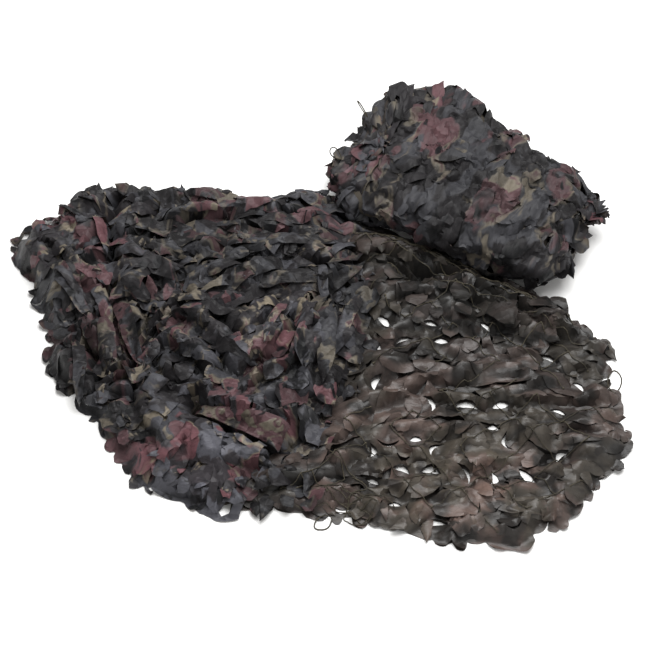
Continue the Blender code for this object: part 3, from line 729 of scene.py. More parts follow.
def leafTree(setup):
    # one leaf stands on each point of a mesh, turned to its attributes leafUp and leafAim,
    # and is then bent onto the cloth below it
    tree, given, leave = newGroup("leafScatter", "GeometryNodeTree", leafInputs, [("Geometry", "Geometry")])

    def attribute(name, kind="FLOAT_VECTOR"):
        return pickOutput(newNode(tree, "GeometryNodeInputNamedAttribute", {"data_type": kind}, Name=name))

    def chance(step, low, high, kind="FLOAT"):
        seed = mathNode(tree, "ADD", given["Seed"], step)
        draw = newNode(tree, "FunctionNodeRandomValue", {"data_type": kind}, Min=low, Max=high, Seed=seed)
        return pickOutput(draw)

    def less(name, share=1.0):
        return mathNode(tree, "MULTIPLY", given[name], -share)

    def then(kind, shape, settings=None, **values):
        return newNode(tree, "GeometryNode" + kind, settings, Geometry=shape, **values).outputs[0]

    def store(shape, name, kind, domain, data):
        return then("StoreNamedAttribute", shape, {"data_type": kind, "domain": domain},
                    Name=name, Value=data)

    points = newNode(tree, "GeometryNodeMeshToPoints", None, Mesh=given["Geometry"])
    up = attribute("leafUp")
    facing = newNode(tree, "FunctionNodeAxesToRotation", {"primary_axis": "Z", "secondary_axis": "Y"},
                     Primary_Axis=up, Secondary_Axis=attribute("leafAim"))
    swing = chance(1, less("Swing"), given["Swing"])
    tilt = chance(2, less("Tilt", setup["backTilt"]), given["Tilt"])
    roll = chance(3, less("Roll"), given["Roll"])
    turned = facing.outputs[0]
    for x, y, z in ((0.0, 0.0, swing), (tilt, roll, 0.0)):
        angles = newNode(tree, "ShaderNodeCombineXYZ", None, X=x, Y=y, Z=z)
        small = newNode(tree, "FunctionNodeEulerToRotation", None, Euler=angles.outputs[0])
        turned = newNode(tree, "FunctionNodeRotateRotation", {"rotation_space": "LOCAL"},
                         Rotation=turned, Rotate_By=small.outputs[0]).outputs[0]
    shapes = newNode(tree, "GeometryNodeCollectionInfo", None, Collection=given["Leaves"],
                     Separate_Children=True, Reset_Children=True)
    size = mathNode(tree, "MULTIPLY", chance(4, given["Smallest"], given["Largest"]),
                    attribute("leafSize", "FLOAT"))
    leaves = newNode(tree, "GeometryNodeInstanceOnPoints", None, Points=points.outputs[0],
                     Instance=shapes.outputs[0], Pick_Instance=True, Rotation=turned,
                     Instance_Index=chance(5, 0, 999, "INT"), Scale=size)
    place = newNode(tree, "GeometryNodeInputPosition").outputs[0]
    # each leaf's tone: a random tone, plus the painted light and shade set at its point
    tonesWithPaintedShade = mathNode(tree, "ADD", chance(6, 0.0, 1.0), attribute("leafShade", "FLOAT"))
    anywhere = chance(7, (-1, -1, -1), (1, 1, 1), "FLOAT_VECTOR")
    shape = leaves.outputs[0]
    for name, kind, data in (("leafRoot", "FLOAT_VECTOR", place), ("leafTone", "FLOAT", tonesWithPaintedShade),
                             ("leafShift", "FLOAT_VECTOR", anywhere)):
        shape = store(shape, name, kind, "INSTANCE", data)
    shape = then("RealizeInstances", shape)

    shift = attribute("leafShift")
    printed = vectorNode(tree, "ADD", vectorNode(tree, "MULTIPLY", place, given["Print Scale"]),
                         vectorNode(tree, "SCALE", shift, scale=given["Print Shift"]))
    shape = store(shape, "clothPlace", "FLOAT_VECTOR", "POINT", printed)
    ground = newNode(tree, "GeometryNodeObjectInfo", {"transform_space": "RELATIVE"},
                     Object=given["Rests On"])
    above = vectorNode(tree, "SCALE", up, scale=setup["above"])
    ray = newNode(tree, "GeometryNodeRaycast", {"data_type": "FLOAT"},
                  Target_Geometry=ground.outputs["Geometry"],
                  Source_Position=vectorNode(tree, "ADD", place, above),
                  Ray_Direction=vectorNode(tree, "SCALE", up, scale=-1.0), Ray_Length=setup["search"])
    away = vectorNode(tree, "SUBTRACT", ray.outputs["Hit Position"], attribute("leafRoot"))
    held = newNode(tree, "ShaderNodeClamp", None, Value=vectorNode(tree, "DOT_PRODUCT", away, up),
                   Min=less("Reach"), Max=given["Reach"]).outputs[0]
    met = mathNode(tree, "MULTIPLY", held, ray.outputs["Is Hit"])
    followed = mathNode(tree, "MULTIPLY", met, given["Follow"])
    moved = mathNode(tree, "MULTIPLY_ADD", attribute("leafLift", "FLOAT"), given["Lift"], followed)
    rough = noiseNode(tree, vectorNode(tree, "ADD", place, shift), setup["wrinkleScale"], 1.0)
    wrinkle = mathNode(tree, "MULTIPLY", mathNode(tree, "SUBTRACT", rough.outputs["Fac"], 0.5),
                       given["Crinkle"])
    wrinkle = mathNode(tree, "MULTIPLY", wrinkle, 2.0)
    offset = vectorNode(tree, "SCALE", up, scale=mathNode(tree, "ADD", moved, wrinkle))
    shape = then("SetPosition", shape, Offset=offset)
    parts = newNode(tree, "ShaderNodeSeparateXYZ", None, Vector=place).outputs
    kept = newNode(tree, "ShaderNodeCombineXYZ", None, X=parts[0], Y=parts[1],
                   Z=mathNode(tree, "MAXIMUM", parts[2], floorGap))
    shape = then("SetPosition", shape, Position=kept.outputs[0])
    shape = then("SetMaterial", then("SetShadeSmooth", shape), Material=given["Material"])
    setInput(tree, leave, "Geometry", shape)
    return tree


leafScatter = leafTree(bendSetup)
lookColumns = ("Leaves", "Seed", "Swing", "Tilt", "Roll", "Lift", "Follow", "Crinkle", "Print Shift")
leafLooks = {
    "heapLeaves": (flatLeafSet, 4, 0.2, 0.16, 0.2, 0.006, 0.6, 0.0012, 0.045),
    "heapStrips": (stripSet, 9, 0.1, 0.1, 0.35, 0.009, 0.6, 0.0012, 0.040),
    "laidLeaves": (flatLeafSet, 5, 0.2, 0.08, 0.1, 0.003, 0.95, 0.002, 0.012),
    "pleatLeaves": (flatLeafSet, 13, 0.3, 0.22, 0.3, 0.006, 0.6, 0.0012, 0.012),
    "cornerLeaves": (flatLeafSet, 14, 0.2, 0.2, 0.3, 0.006, 0.6, 0.0012, 0.012),
    "rollLeaves": (leafSet, 6, 0.3, 0.25, 0.25, 0.004, 0.8, 0.004, 0.012),
    "rollStrips": (stripSet, 12, 0.12, 0.1, 0.5, 0.006, 0.85, 0.003, 0.012),
}


def setLeaves(name, rows, cloth, material, grow=1.0, lean=(), shades=()):
    # each row is place, up, aim and size; the leaves rest on the cloth
    mesh = bpy.data.meshes.new(name)
    mesh.from_pydata([row[0] for row in rows], [], [])
    storeVectors(mesh, "leafUp", [row[1] for row in rows])
    storeVectors(mesh, "leafAim", [row[2] for row in rows])
    plan = [(row[0].x - planShift.x, row[0].y - planShift.y) for row in rows]
    storeValues(mesh, "leafSize", [row[3] for row in rows])
    storeValues(mesh, "printLean", [shadeAt(x, y, lean) for x, y in plan])
    # painted light and shade for each leaf, from the rows of shades
    storeValues(mesh, "leafShade", [shadeAt(x, y, shades) for x, y in plan])
    thing = linkObject(bpy.data.objects.new(name, mesh))
    modifier = thing.modifiers.new("Leaves", "NODES")
    modifier.node_group = leafScatter
    values = dict(zip(lookColumns, leafLooks[name]))
    values.update({"Rests On": cloth, "Material": material, "Print Scale": (grow, grow, 0.3)})
    for item in leafScatter.interface.items_tree:
        if item.in_out == "INPUT" and item.name in values:
            modifier[item.identifier] = values[item.name]
    settle(thing)
    for spare in ("leafRoot", "leafUp", "leafAim", "leafSize", "leafLift", "leafShift", "leafShade"):
        if spare in thing.data.attributes:
            thing.data.attributes.remove(thing.data.attributes[spare])
    return thing


def raisedNormal(normal, share=0.6):
    # the normal turned towards straight up
    return (normal + Vector((0, 0, share))).normalized()


def handRows(rows, surfaceAt):
    # leaves given one by one: each row is x, y, degrees and size
    found = []
    for x, y, turn, size in rows:
        place, normal = surfaceAt(x + planShift.x, y + planShift.y)
        found.append((place, raisedNormal(normal), turnedAim(turn), size))
    return found


# ---- plan of the net, in millimetres, counter-clockwise from the front

clothPlan = {
    "laidEdge": shifted(metres([
        (-162, -405), (-108, -394), (-40, -413), (47, -423), (100, -436), (138, -444), (190, -464),
        (224, -474), (280, -466), (330, -484), (365, -450), (392, -430), (413, -440), (429, -420),
        (458, -385), (491, -346), (534, -305), (557, -262), (539, -221), (545, -178), (518, -130),
        (526, -90), (544, -61), (513, -40), (474, 0),
    ])),
    "heapEdge": shifted(metres([
        (28, 290), (-16, 313), (-65, 305), (-114, 284), (-164, 287), (-200, 304), (-273, 314), (-342, 314),
        (-398, 323), (-438, 325), (-484, 300), (-512, 258), (-550, 225), (-587, 202), (-604, 163),
        (-586, 126), (-557, 87), (-533, 23), (-508, -45), (-511, -88), (-496, -134), (-457, -178),
        (-413, -223), (-383, -264), (-355, -305), (-322, -346), (-252, -388), (-205, -410), (-162, -405),
    ])),
    "freeEdge": shifted(metres([
        (28, 290), (40, 240), (45, 201), (62, 140), (82, 77), (89, 13), (76, -67), (53, -119), (60, -162),
        (35, -192), (9, -224), (2, -274), (-52, -311), (-101, -333), (-136, -362), (-162, -405),
    ])),
}
# gaps cut between leaves: x, y, length, width, turn in degrees, bow
cutGaps = metres([
    (112, -3, 32, 13, -50, 4), (98, -58, 28, 13, -60, 3), (154, -51, 30, 12, 25, 6),
    (203, -10, 26, 10, -15, 3), (222, -50, 28, 12, 0, 4), (305, -14, 22, 11, -55, 3),
    (418, -92, 28, 10, -25, 5), (102, -142, 30, 10, 65, 5), (189, -190, 34, 11, -70, 9),
    (262, -196, 36, 15, 0, 6), (326, -190, 26, 17, 10, 2), (429, -206, 26, 11, -20, 4),
    (308, -243, 24, 11, -10, 5), (117, -268, 34, 14, 0, -6), (82, -288, 26, 10, 80, -7),
    (168, -262, 20, 9, 0, 2), (206, -288, 30, 10, 45, 8), (338, -268, 30, 10, -72, -8),
    (139, -330, 28, 10, -20, 6), (191, -336, 32, 13, -15, 8), (247, -338, 32, 10, -60, 8),
    (297, -342, 28, 10, 80, -7), (363, -342, 42, 13, -55, 2), (87, -352, 22, 14, -20, 3),
    (194, -438, 42, 14, 0, 5), (126, -398, 22, 9, 0, 3), (33, -398, 30, 10, -10, -6),
    (-30, -372, 24, 10, 20, 4), (430, -300, 26, 10, 40, 5), (470, -150, 24, 10, -50, 4),
], 0, 1, 2, 3, 5)
laidTree = BVHTree.FromBMesh(mergedCopy("laid_cloth"))
layerSetup = {
    "leastUp": 0.2,  # how far up a face has to look to be part of a layer
    "sheetDepth": 0.0045,  # more than the CAD cloth is thick
}


def clothLayer(face):
    # which sheet an upward face belongs to: heap, laid, under (below the heap) or none
    if face.normal.z < layerSetup["leastUp"]:
        return "none"
    middle = face.calc_center_median()
    heights = heightsBelow(laidTree, middle.x, middle.y)
    if len(heights) >= 4:
        return "heap" if middle.z > heights[1] else "under"
    if heights and heights[0] - heights[-1] > layerSetup["sheetDepth"]:
        return "heap"
    return "laid"


def layerMesh(layers):
    # the upward faces of these sheets, cut out of the CAD cloth
    bm = mergedCopy("laid_cloth")
    bm.normal_update()
    bmesh.ops.delete(bm, geom=[face for face in bm.faces if clothLayer(face) not in layers], context="FACES")
    return bm


# ---- cloth that is cut into leaves and crumpled by the cloth solver

def turnedAim(degrees):
    return Vector((math.cos(math.radians(degrees)), math.sin(math.radians(degrees)), 0.0))


def runAim(x, y, runs):
    # the direction at a place, from the listed ones: each row is x, y and degrees
    total = Vector((0.0, 0.0, 0.0))
    for px, py, turn in runs:
        weight = 1 / (0.0004 + (x - px - planShift.x) ** 2 + (y - py - planShift.y) ** 2) ** 1.5
        total += turnedAim(turn) * weight
    return total.normalized()


flapOutlines = {
    # share of the length, share of the width
    "tongue": [(0.0, -0.40), (0.22, -0.49), (0.48, -0.50), (0.70, -0.44), (0.88, -0.27), (1.0, -0.02),
               (0.92, 0.24), (0.74, 0.42), (0.50, 0.50), (0.24, 0.49), (0.0, 0.42)],
    "point": [(0.0, -0.42), (0.20, -0.50), (0.42, -0.47), (0.64, -0.34), (0.84, -0.18), (1.0, 0.04),
              (0.86, 0.20), (0.66, 0.36), (0.44, 0.48), (0.22, 0.50), (0.0, 0.40)],
    "drop": [(0.0, -0.22), (0.20, -0.30), (0.42, -0.42), (0.66, -0.50), (0.88, -0.36), (1.0, 0.0),
             (0.90, 0.32), (0.68, 0.48), (0.44, 0.44), (0.22, 0.32), (0.0, 0.24)],
    "square": [(0.0, -0.50), (0.25, -0.50), (0.55, -0.50), (0.85, -0.49), (1.0, -0.47), (1.0, -0.15),
               (0.98, 0.15), (1.0, 0.46), (0.80, 0.50), (0.50, 0.50), (0.25, 0.50), (0.0, 0.50)],
}


def onFlap(x, y, aim, length, width, along, aside):
    # the place at this share of a flap's length, and this share of its width to the left
    return (x + aim.x * length * along - aim.y * width * aside,
            y + aim.y * length * along + aim.x * width * aside)


def makeFlap(x, y, aim, length, width, kind, tilt, curl, tone=0.5):
    outline = [onFlap(x, y, aim, length, width, along, aside) for along, aside in flapOutlines[kind]]
    return dict(x=x, y=y, aim=aim, length=length, width=width, tilt=math.radians(tilt), curl=curl, tone=tone,
                outline=outline)


def handFlaps(rows):
    # each row is x, y, degrees, length, width, kind, tilt and curl
    return [makeFlap(x + planShift.x, y + planShift.y, turnedAim(turn), *rest) for x, y, turn, *rest in rows]


def flapInside(flap):
    # a few places over the flap, to keep others off it
    sizes = [flap[key] for key in ("x", "y", "aim", "length", "width")]
    return [onFlap(*sizes, along, aside) for along in (0.0, 0.25, 0.5, 0.75) for aside in (-0.3, 0.0, 0.3)]


class NearPlaces:
    # places sorted into square cells, to find quickly whether one lies close
    def __init__(self, cell):
        self.cell = cell
        self.cells = {}

    def add(self, places):
        for x, y in places:
            self.cells.setdefault((int(x // self.cell), int(y // self.cell)), []).append((x, y))

    def close(self, x, y, reach):
        column = int(x // self.cell)
        row = int(y // self.cell)
        return any((px - x) ** 2 + (py - y) ** 2 < reach * reach
                   for i in (column - 1, column, column + 1) for j in (row - 1, row, row + 1)
                   for px, py in self.cells.get((i, j), ()))


scatterSetup = {
    "cell": 0.02,
    "fullTries": 0.5,  # share of the tries with full size
    "smaller": 0.72,
}


def scatterFlaps(area, firstFlaps, setup, aimFor, calm=None):
    # flaps placed by chance where they clear each other; later tries are smaller and fill in
    chance = random.Random(setup["seed"])
    flaps = list(firstFlaps)
    rows = AreaRows([area])
    taken = NearPlaces(scatterSetup["cell"])
    for flap in flaps:
        taken.add(flap["outline"] + flapInside(flap))
    left, right, low, high = boxOf(area)
    for attempt in range(setup["tries"]):
        x = chance.uniform(left, right)
        y = chance.uniform(low, high)
        aim = aimFor(x, y)
        swing = chance.uniform(-setup["swing"], setup["swing"])
        aim = turnedAim(math.degrees(math.atan2(aim.y, aim.x)) + swing)
        smaller = 1.0 if attempt < setup["tries"] * scatterSetup["fullTries"] else scatterSetup["smaller"]
        length = chance.uniform(*setup["length"]) * smaller / setup["grow"]
        width = chance.uniform(*setup["width"]) * smaller / setup["grow"]
        kind = chance.choice(setup["kinds"])
        tilt = chance.uniform(*setup["tilt"]) * (calm(x, y) if calm else 1.0)
        curl = chance.uniform(*setup["curl"])
        if not rows.holds(x, y) or taken.close(x, y, setup["room"]):
            continue
        flap = makeFlap(x, y, aim, length, width, kind, tilt, curl, chance.random())
        places = flap["outline"] + flapInside(flap)
        if not all(rows.holds(px, py) for px, py in flap["outline"]):
            continue
        if any(taken.close(px, py, setup["room"]) for px, py in places):
            continue
        flaps.append(flap)
        taken.add(places)
    return flaps


def densePath(path, step, closed):
    ends = path + path[:1] if closed else path
    points = []
    for (ax, ay), (bx, by) in zip(ends, ends[1:]):
        parts = max(1, round(math.hypot(bx - ax, by - ay) / step))
        points += [(ax + (bx - ax) * k / parts, ay + (by - ay) * k / parts) for k in range(parts)]
    return points if closed else points + [path[-1]]


sheetSetup = {
    "stray": 0.22,  # how far points lie from an even grid, as shares of the step
    "room": 0.6,  # least distance to an outline, as a share of the step
    "cell": 0.03,
}


def cutSheet(area, flaps, holes, step, seed):
    # a flat sheet of uneven triangles, open along every flap's outline; also which flap a face is on
    chance = random.Random(seed)
    stray = sheetSetup["stray"]
    points = []
    edges = []

    def addLine(path, closed):
        line = densePath(path, step, closed)
        first = len(points)
        points.extend(line)
        sides = len(line) if closed else len(line) - 1
        edges.extend((first + k, first + (k + 1) % len(line)) for k in range(sides))

    for loop in [area] + holes:
        addLine(loop, True)
    uncut = len(edges)
    for flap in flaps:
        addLine(flap["outline"], False)
    placed = NearPlaces(step)
    placed.add(points)
    rows = AreaRows([area] + holes)
    left, right, low, high = boxOf(area)
    rowStep = step * math.sqrt(3) / 2
    for row in range(int((high - low) / rowStep)):
        for column in range(int((right - left) / step)):
            x = left + (column + 0.5 * (row % 2) + chance.uniform(-stray, stray)) * step
            y = low + row * rowStep + chance.uniform(-stray, stray) * step
            if rows.holds(x, y) and not placed.close(x, y, sheetSetup["room"] * step):
                points.append((x, y))
    flat = [Vector(point) for point in points]
    corners, lines, triangles, _, lineSources, _ = delaunay_2d_cdt(flat, edges, [], 0, 1e-7)
    bm = bmesh.new()
    verts = [bm.verts.new((corner.x, corner.y, 0.0)) for corner in corners]
    for triangle in triangles:
        x = sum(corners[k].x for k in triangle) / 3
        y = sum(corners[k].y for k in triangle) / 3
        if rows.holds(x, y):
            bm.faces.new([verts[k] for k in triangle])
    cuts = []
    for (a, b), sources in zip(lines, lineSources):
        if any(source >= uncut for source in sources):
            edge = bm.edges.get((verts[a], verts[b]))
            if edge:
                cuts.append(edge)
    bmesh.ops.split_edges(bm, edges=cuts)
    bmesh.ops.delete(bm, geom=[vert for vert in bm.verts if not vert.link_faces], context="VERTS")
    return bm, facesOnFlaps(bm, flaps, sheetSetup["cell"])


def facesOnFlaps(bm, flaps, cell):
    boxes = {}
    for number, flap in enumerate(flaps):
        left, right, low, high = boxOf(flap["outline"])
        for i in range(int(left // cell), int(right // cell) + 1):
            for j in range(int(low // cell), int(high // cell) + 1):
                boxes.setdefault((i, j), []).append(number)
    faceFlap = {}
    for face in bm.faces:
        middle = face.calc_center_median()
        for number in boxes.get((int(middle.x // cell), int(middle.y // cell)), ()):
            if insideArea(middle.x, middle.y, flaps[number]["outline"]):
                faceFlap[face] = number
                break
    return faceFlap


flapSetup = {
    "joined": 0.02,  # share of its length up to which a flap stays down
    "easing": 0.5,
    "rise": 0.0012,
    "bow": 0.30,  # how far its sides hang, as a share of its width
}


def raiseSheet(bm, faceFlap, flaps, surfaceAt, setup):
    # lays the flat sheet on its surface, each flap lifted about its joined end and bowed
    vertFlap = {}
    for face, number in faceFlap.items():
        for vert in face.verts:
            vertFlap.setdefault(vert, number)
    flat = [vert.co.copy() for vert in bm.verts]
    tied = set(tiePlaces(flat, setup))
    for k, (vert, (x, y, _)) in enumerate(zip(bm.verts, flat)):
        place, normal = surfaceAt(x, y)
        rise = -setup["tieDepth"] if k in tied else 0.0
        for size, height, seed in setup["roughness"]:
            rise += height * ripple(x, y, size, seed)
        if vert in vertFlap:
            flap = flaps[vertFlap[vert]]
            aim = flap["aim"]
            along = ((x - flap["x"]) * aim.x + (y - flap["y"]) * aim.y) / flap["length"]
            aside = ((y - flap["y"]) * aim.x - (x - flap["x"]) * aim.y) / flap["width"]
            if along > flapSetup["joined"]:
                bend = 1 - flapSetup["easing"] * flap["curl"] * along
                rise += flap["length"] * along * math.tan(flap["tilt"]) * bend
                rise += flapSetup["rise"] - flapSetup["bow"] * flap["width"] * aside * aside * along
        vert.co = place + normal * rise
    return flat, sorted(tied)


solverSetup = {
    "quality": 4,
    "mass": 0.12,
    "tension_stiffness": 8.0,
    "compression_stiffness": 8.0,
    "shear_stiffness": 2.0,
    "tension_damping": 4.0,
    "compression_damping": 4.0,
    "shear_damping": 2.0,
    "air_damping": 4.0,
    "vertex_group_mass": "tied",
}


def solveCloth(thing, pinned, setup):
    # the cloth wants to be larger than the room it has, and so it buckles between its ties
    group = thing.vertex_groups.new(name="tied")
    group.add(pinned, 1.0, "REPLACE")
    modifier = thing.modifiers.new("Cloth", "CLOTH")
    cloth = modifier.settings
    for name, value in solverSetup.items():
        setattr(cloth, name, value)
    cloth.bending_stiffness = setup["bending"]
    cloth.shrink_min = 1 - setup["grow"]
    cloth.shrink_max = 1 - setup["grow"]
    cloth.effector_weights.gravity = 0.0
    modifier.collision_settings.use_collision = False
    modifier.point_cache.frame_start = 1
    modifier.point_cache.frame_end = setup["frames"]
    for number in range(1, setup["frames"] + 1):
        bpy.context.scene.frame_set(number)
    settle(thing)
    thing.vertex_groups.clear()
    bpy.context.scene.frame_set(1)


tieReach = 0.75  # in steps of the sheet


def tiePlaces(flat, setup):
    # the points nearest the carrier net's knots
    cos = math.cos(math.radians(setup["tieTurn"]))
    sin = math.sin(math.radians(setup["tieTurn"]))
    pitch = setup["tiePitch"] / setup["grow"]
    reach = tieReach * setup["step"] / setup["grow"]
    found = []
    for k, place in enumerate(flat):
        a = (place.x * cos + place.y * sin) / pitch
        b = (place.y * cos - place.x * sin) / pitch
        if math.hypot(a - round(a), b - round(b)) * pitch < reach:
            found.append(k)
    return found


def shadeAt(x, y, shades):
    # sum of soft spots near a place; rows of painted light and shade, or of the print's lean: x, y, reach and
    # amount for shades, how much lighter or darker the cloth is painted here: each row is x, y, reach and
    # amount
    return sum(amount * math.exp(-((x - px) ** 2 + (y - py) ** 2) / reach ** 2)
               for px, py, reach, amount in shades)


def foldDepths(mesh, setup):
    # how far each point lies below the cloth round it, from 0 to 1, for the painted shade in the valleys
    cell = setup["valleySize"]
    sums = {}
    for vert in mesh.vertices:
        key = (int(vert.co.x // cell), int(vert.co.y // cell))
        total, count = sums.get(key, (0.0, 0))
        sums[key] = (total + vert.co.z, count + 1)
    depths = []
    for vert in mesh.vertices:
        column = int(vert.co.x // cell)
        row = int(vert.co.y // cell)
        near = [sums[i, j] for i in (column - 1, column, column + 1) for j in (row - 1, row, row + 1)
                if (i, j) in sums]
        middle = sum(total for total, _ in near) / sum(count for _, count in near)
        depths.append(min(max((middle - vert.co.z) / setup["valleyDepth"], 0.0), 1.0))
    return depths


def flatSize(outline, grow):
    # the cut size of a cloth with this plan outline: width, length and area
    left, right, low, high = boxOf(outline)
    twice = sum(ax * by - bx * ay for (ax, ay), (bx, by) in zip(outline, outline[1:] + outline[:1]))
    return (right - left) * grow, (high - low) * grow, abs(twice) / 2 * grow * grow


def makeCutCloth(name, area, flaps, holes, surfaceAt, setup, material):
    step = setup["step"] / setup["grow"]
    bm, faceFlap = cutSheet(area, flaps, holes, step, setup["seed"])
    flapOfFace = [faceFlap.get(face, -1) for face in bm.faces]
    flat, ties = raiseSheet(bm, faceFlap, flaps, surfaceAt, setup)
    if holes:
        rims = NearPlaces(0.01)
        for hole in holes:
            rims.add(densePath(hole, step, True))
        ties += [k for k, place in enumerate(flat) if rims.close(place.x, place.y, 0.2 * step)]
    cloth = meshObject(name, bm, material)
    solveCloth(cloth, ties, setup)
    mesh = cloth.data
    storeVectors(mesh, "clothPlace", [place * setup["grow"] for place in flat])
    plan = [(place.x - planShift.x, place.y - planShift.y) for place in flat]
    # each face's tone: its flap's random tone, or 0.5 between flaps, plus the painted light and shade
    tonesWithPaintedShade = [(0.5 if number < 0 else flaps[number]["tone"])
             + shadeAt(*plan[polygon.vertices[0]], setup["shades"])
             for polygon, number in zip(mesh.polygons, flapOfFace)]
    storeValues(mesh, "leafTone", tonesWithPaintedShade, "FACE")
    storeValues(mesh, "printLean", [shadeAt(x, y, setup["lean"]) for x, y in plan])
    for vert in mesh.vertices:
        vert.co.z = max(vert.co.z, floorGap)
    # painted shade in the fold valleys, by how deep each point lies
    if "valleyDepth" in setup:
        storeValues(mesh, "foldDepth", foldDepths(mesh, setup))
    crispen(cloth, setup["keep"], setup["crisp"])
    setup["cut"] = flatSize(area, setup["gather"])
    print(f"{name}: {len(flaps)} cut leaves, {len(cloth.data.polygons)} faces, "
          "flat {:.3f} x {:.3f} m, {:.3f} m2".format(*setup["cut"]))
    return cloth


borderSetup = {
    "pitches": (0.5, 1.5),  # least and greatest width of a tip, in pitches
    "depths": (0.3, 0.5, 0.7, 1.0, 1.5),
    "lean": 0.14,
    "blunt": (0.45, 0.95),
    "last": 0.35,  # a gap smaller than this many pitches gets no tip
}


def tipProfile(lean, blunt):
    # share along a tip, and how far out
    return ((0.06, -0.5), (0.22, blunt * 0.7), (0.38 + lean, 0.5 + 0.5 * blunt), (0.52 + lean, 1.0),
            (0.68 + lean, 0.5 + 0.5 * blunt), (0.86, blunt * 0.6), (0.96, -0.3))


def leafyBorder(path, pitch, depth, seed):
    # the path with leaf tips standing out to its right, uneven in width, reach, lean and point
    chance = random.Random(seed)
    least, greatest = borderSetup["pitches"]
    points = [path[0]]
    for (ax, ay), (bx, by) in zip(path, path[1:]):
        length = math.hypot(bx - ax, by - ay)
        outX = (by - ay) / length
        outY = (ax - bx) / length
        left = 0.0
        while left < length - borderSetup["last"] * pitch:
            wide = min(pitch * chance.uniform(least, greatest), length - left)
            reach = depth * chance.choice(borderSetup["depths"])
            lean = chance.uniform(-borderSetup["lean"], borderSetup["lean"])
            for share, out in tipProfile(lean, chance.uniform(*borderSetup["blunt"])):
                along = (left + share * wide) / length
                points.append((ax + (bx - ax) * along + outX * out * reach,
                               ay + (by - ay) * along + outY * out * reach))
            left += wide
    return points


# ---- the turned-back heap

heapSetup = {
    "subdivisions": 2,
    "foldMiddle": 0.55,  # share of the fold height that lies over the smooth form
    "foldFrom": 0.05,  # how far in from the rim the folds, and then the grooves, have their full depth
    "grooveFrom": 0.06,
    "stray": 0.012,
    "straySize": 0.035,
    "rimHeight": 0.0025,
    "rimRise": (0.15, 0.030),  # share of the height at the rim, and how far in it is full
    "freeRise": (0.2, 0.035),  # the same for the free edge, over the sheet below
    "overLaid": 0.003,
    "grow": 1.20,  # how much larger the solver makes the cloth, each way
    "gather": 1.50,  # the flat cut against the plan, each way, with the folds counted in
    "step": 0.0062,
    "keep": 0.5,
    "crisp": 26.0,
    "seed": 5,
    "tries": 16000,
    "length": (0.048, 0.084),
    "width": (0.030, 0.050),
    "kinds": ["tongue", "tongue", "point", "drop", "square"],
    "tilt": (2.0, 14.0),
    "curl": (0.0, 1.2),
    "swing": 34.0,
    "room": 0.0034,
    # size, height and seed of the first unevenness
    "roughness": [(0.034, 0.0040, 3.0), (0.011, 0.0008, 9.0)],
    "foldSpacing": 0.052,
    "foldHeight": 0.026,
    "tiePitch": 0.062,
    "tieTurn": 38.0,
    "tieDepth": 0.007,
    "bending": 0.4,
    "frames": 22,
    "borderPitch": 0.040,
    "borderDepth": 0.009,
    "innerDrop": 0.016,
    "innerInset": 0.016,
    "innerGather": 1.08,
    # painted light and shade near a place: x, y, reach and how much lighter, or darker below zero, in place
    # of the light and shade on the folds
    "shades": [(-0.440, -0.060, 0.120, -0.48), (-0.215, -0.310, 0.110, 0.95), (-0.200, 0.160, 0.140, -0.52),
               (-0.060, -0.040, 0.110, 0.45), (0.040, 0.050, 0.090, -0.60), (0.015, -0.070, 0.065, -0.45),
               (-0.090, 0.240, 0.100, 0.10), (-0.200, -0.385, 0.055, 0.70), (-0.520, 0.180, 0.090, 0.50)],
    "lean": [(-0.250, -0.270, 0.080, 0.070), (-0.500, 0.180, 0.080, 0.080), (-0.440, -0.080, 0.070, 0.030),
             (-0.050, -0.090, 0.090, 0.030), (-0.230, 0.060, 0.120, -0.012), (-0.133, -0.325, 0.030, 0.090)],
    "leafSpacing": 0.050,
    "leafInset": 0.03,
    # edge, its points, pitch, distance in from the edge, seed and size of the leaves along it
    "edgeLeaves": [("heapEdge", slice(12), 0.040, (0.030, 0.046), 22, (0.6, 0.8)),
                   ("heapEdge", slice(11, None), 0.030, (0.034, 0.056), 24, (0.6, 0.85)),
                   ("freeEdge", slice(None, 6, -1), 0.036, (0.006, 0.022), 25, (0.6, 0.95))],
    "valleySize": 0.014,
    "valleyDepth": 0.014,
    "leftmostLeaf": -0.556,
    "stripSpacing": 0.038,
    "stripInset": 0.05,
    "stripLowest": -0.12,
    "grooveRoom": 0.022,
    "hemRoom": 0.030,
}
# how far leaves turn from their run, in degrees
leafSwing = {"edge": 38.0, "heap": 30.0, "strip": 10.0, "laid": 35.0, "pleat": 45.0}
# the folded edge that lies straight across the lower part, over a dark pocket
hemSetup = {
    "start": (-0.232, -0.226),
    "end": (-0.080, -0.300),
    "narrow": 0.024,  # how far it reaches back at its start and at its end
    "wide": 0.056,
    "columns": 28,
    "lift": 0.010,
    "bed": 0.012,
    "turnedUnder": [(0.012, -0.0040), (0.004, -0.0036), (0.0, -0.0016), (0.0012, 0.0)],
    "across": (0.15, 0.35, 0.55, 0.75, 1.0),
    "swell": 0.0015,
    "backDrop": (0.020, 0.6),  # how far the back edge goes down, and from which share on
    "endDrop": (0.014, 0.06),  # how far its ends go down, and over which share
    "unevenness": 0.003,
    "tone": 0.42,
    "printLean": 0.14,
}
# which way the leaves point: x, y, degrees
heapRuns = metres([
    (-540, 150, 215), (-440, 260, 150), (-250, 270, 275), (-80, 270, 290), (-250, 190, 185),
    (-100, 180, 350), (-180, 110, 200), (-20, 120, 340), (-460, 0, 262), (-380, -60, 268), (-150, 10, 240),
    (-50, -80, 262), (-250, -100, 235), (-330, -240, 240), (-200, -260, 255), (-80, -200, 215),
    (-180, -370, 260), (40, 0, 330), (20, -150, 300),
])
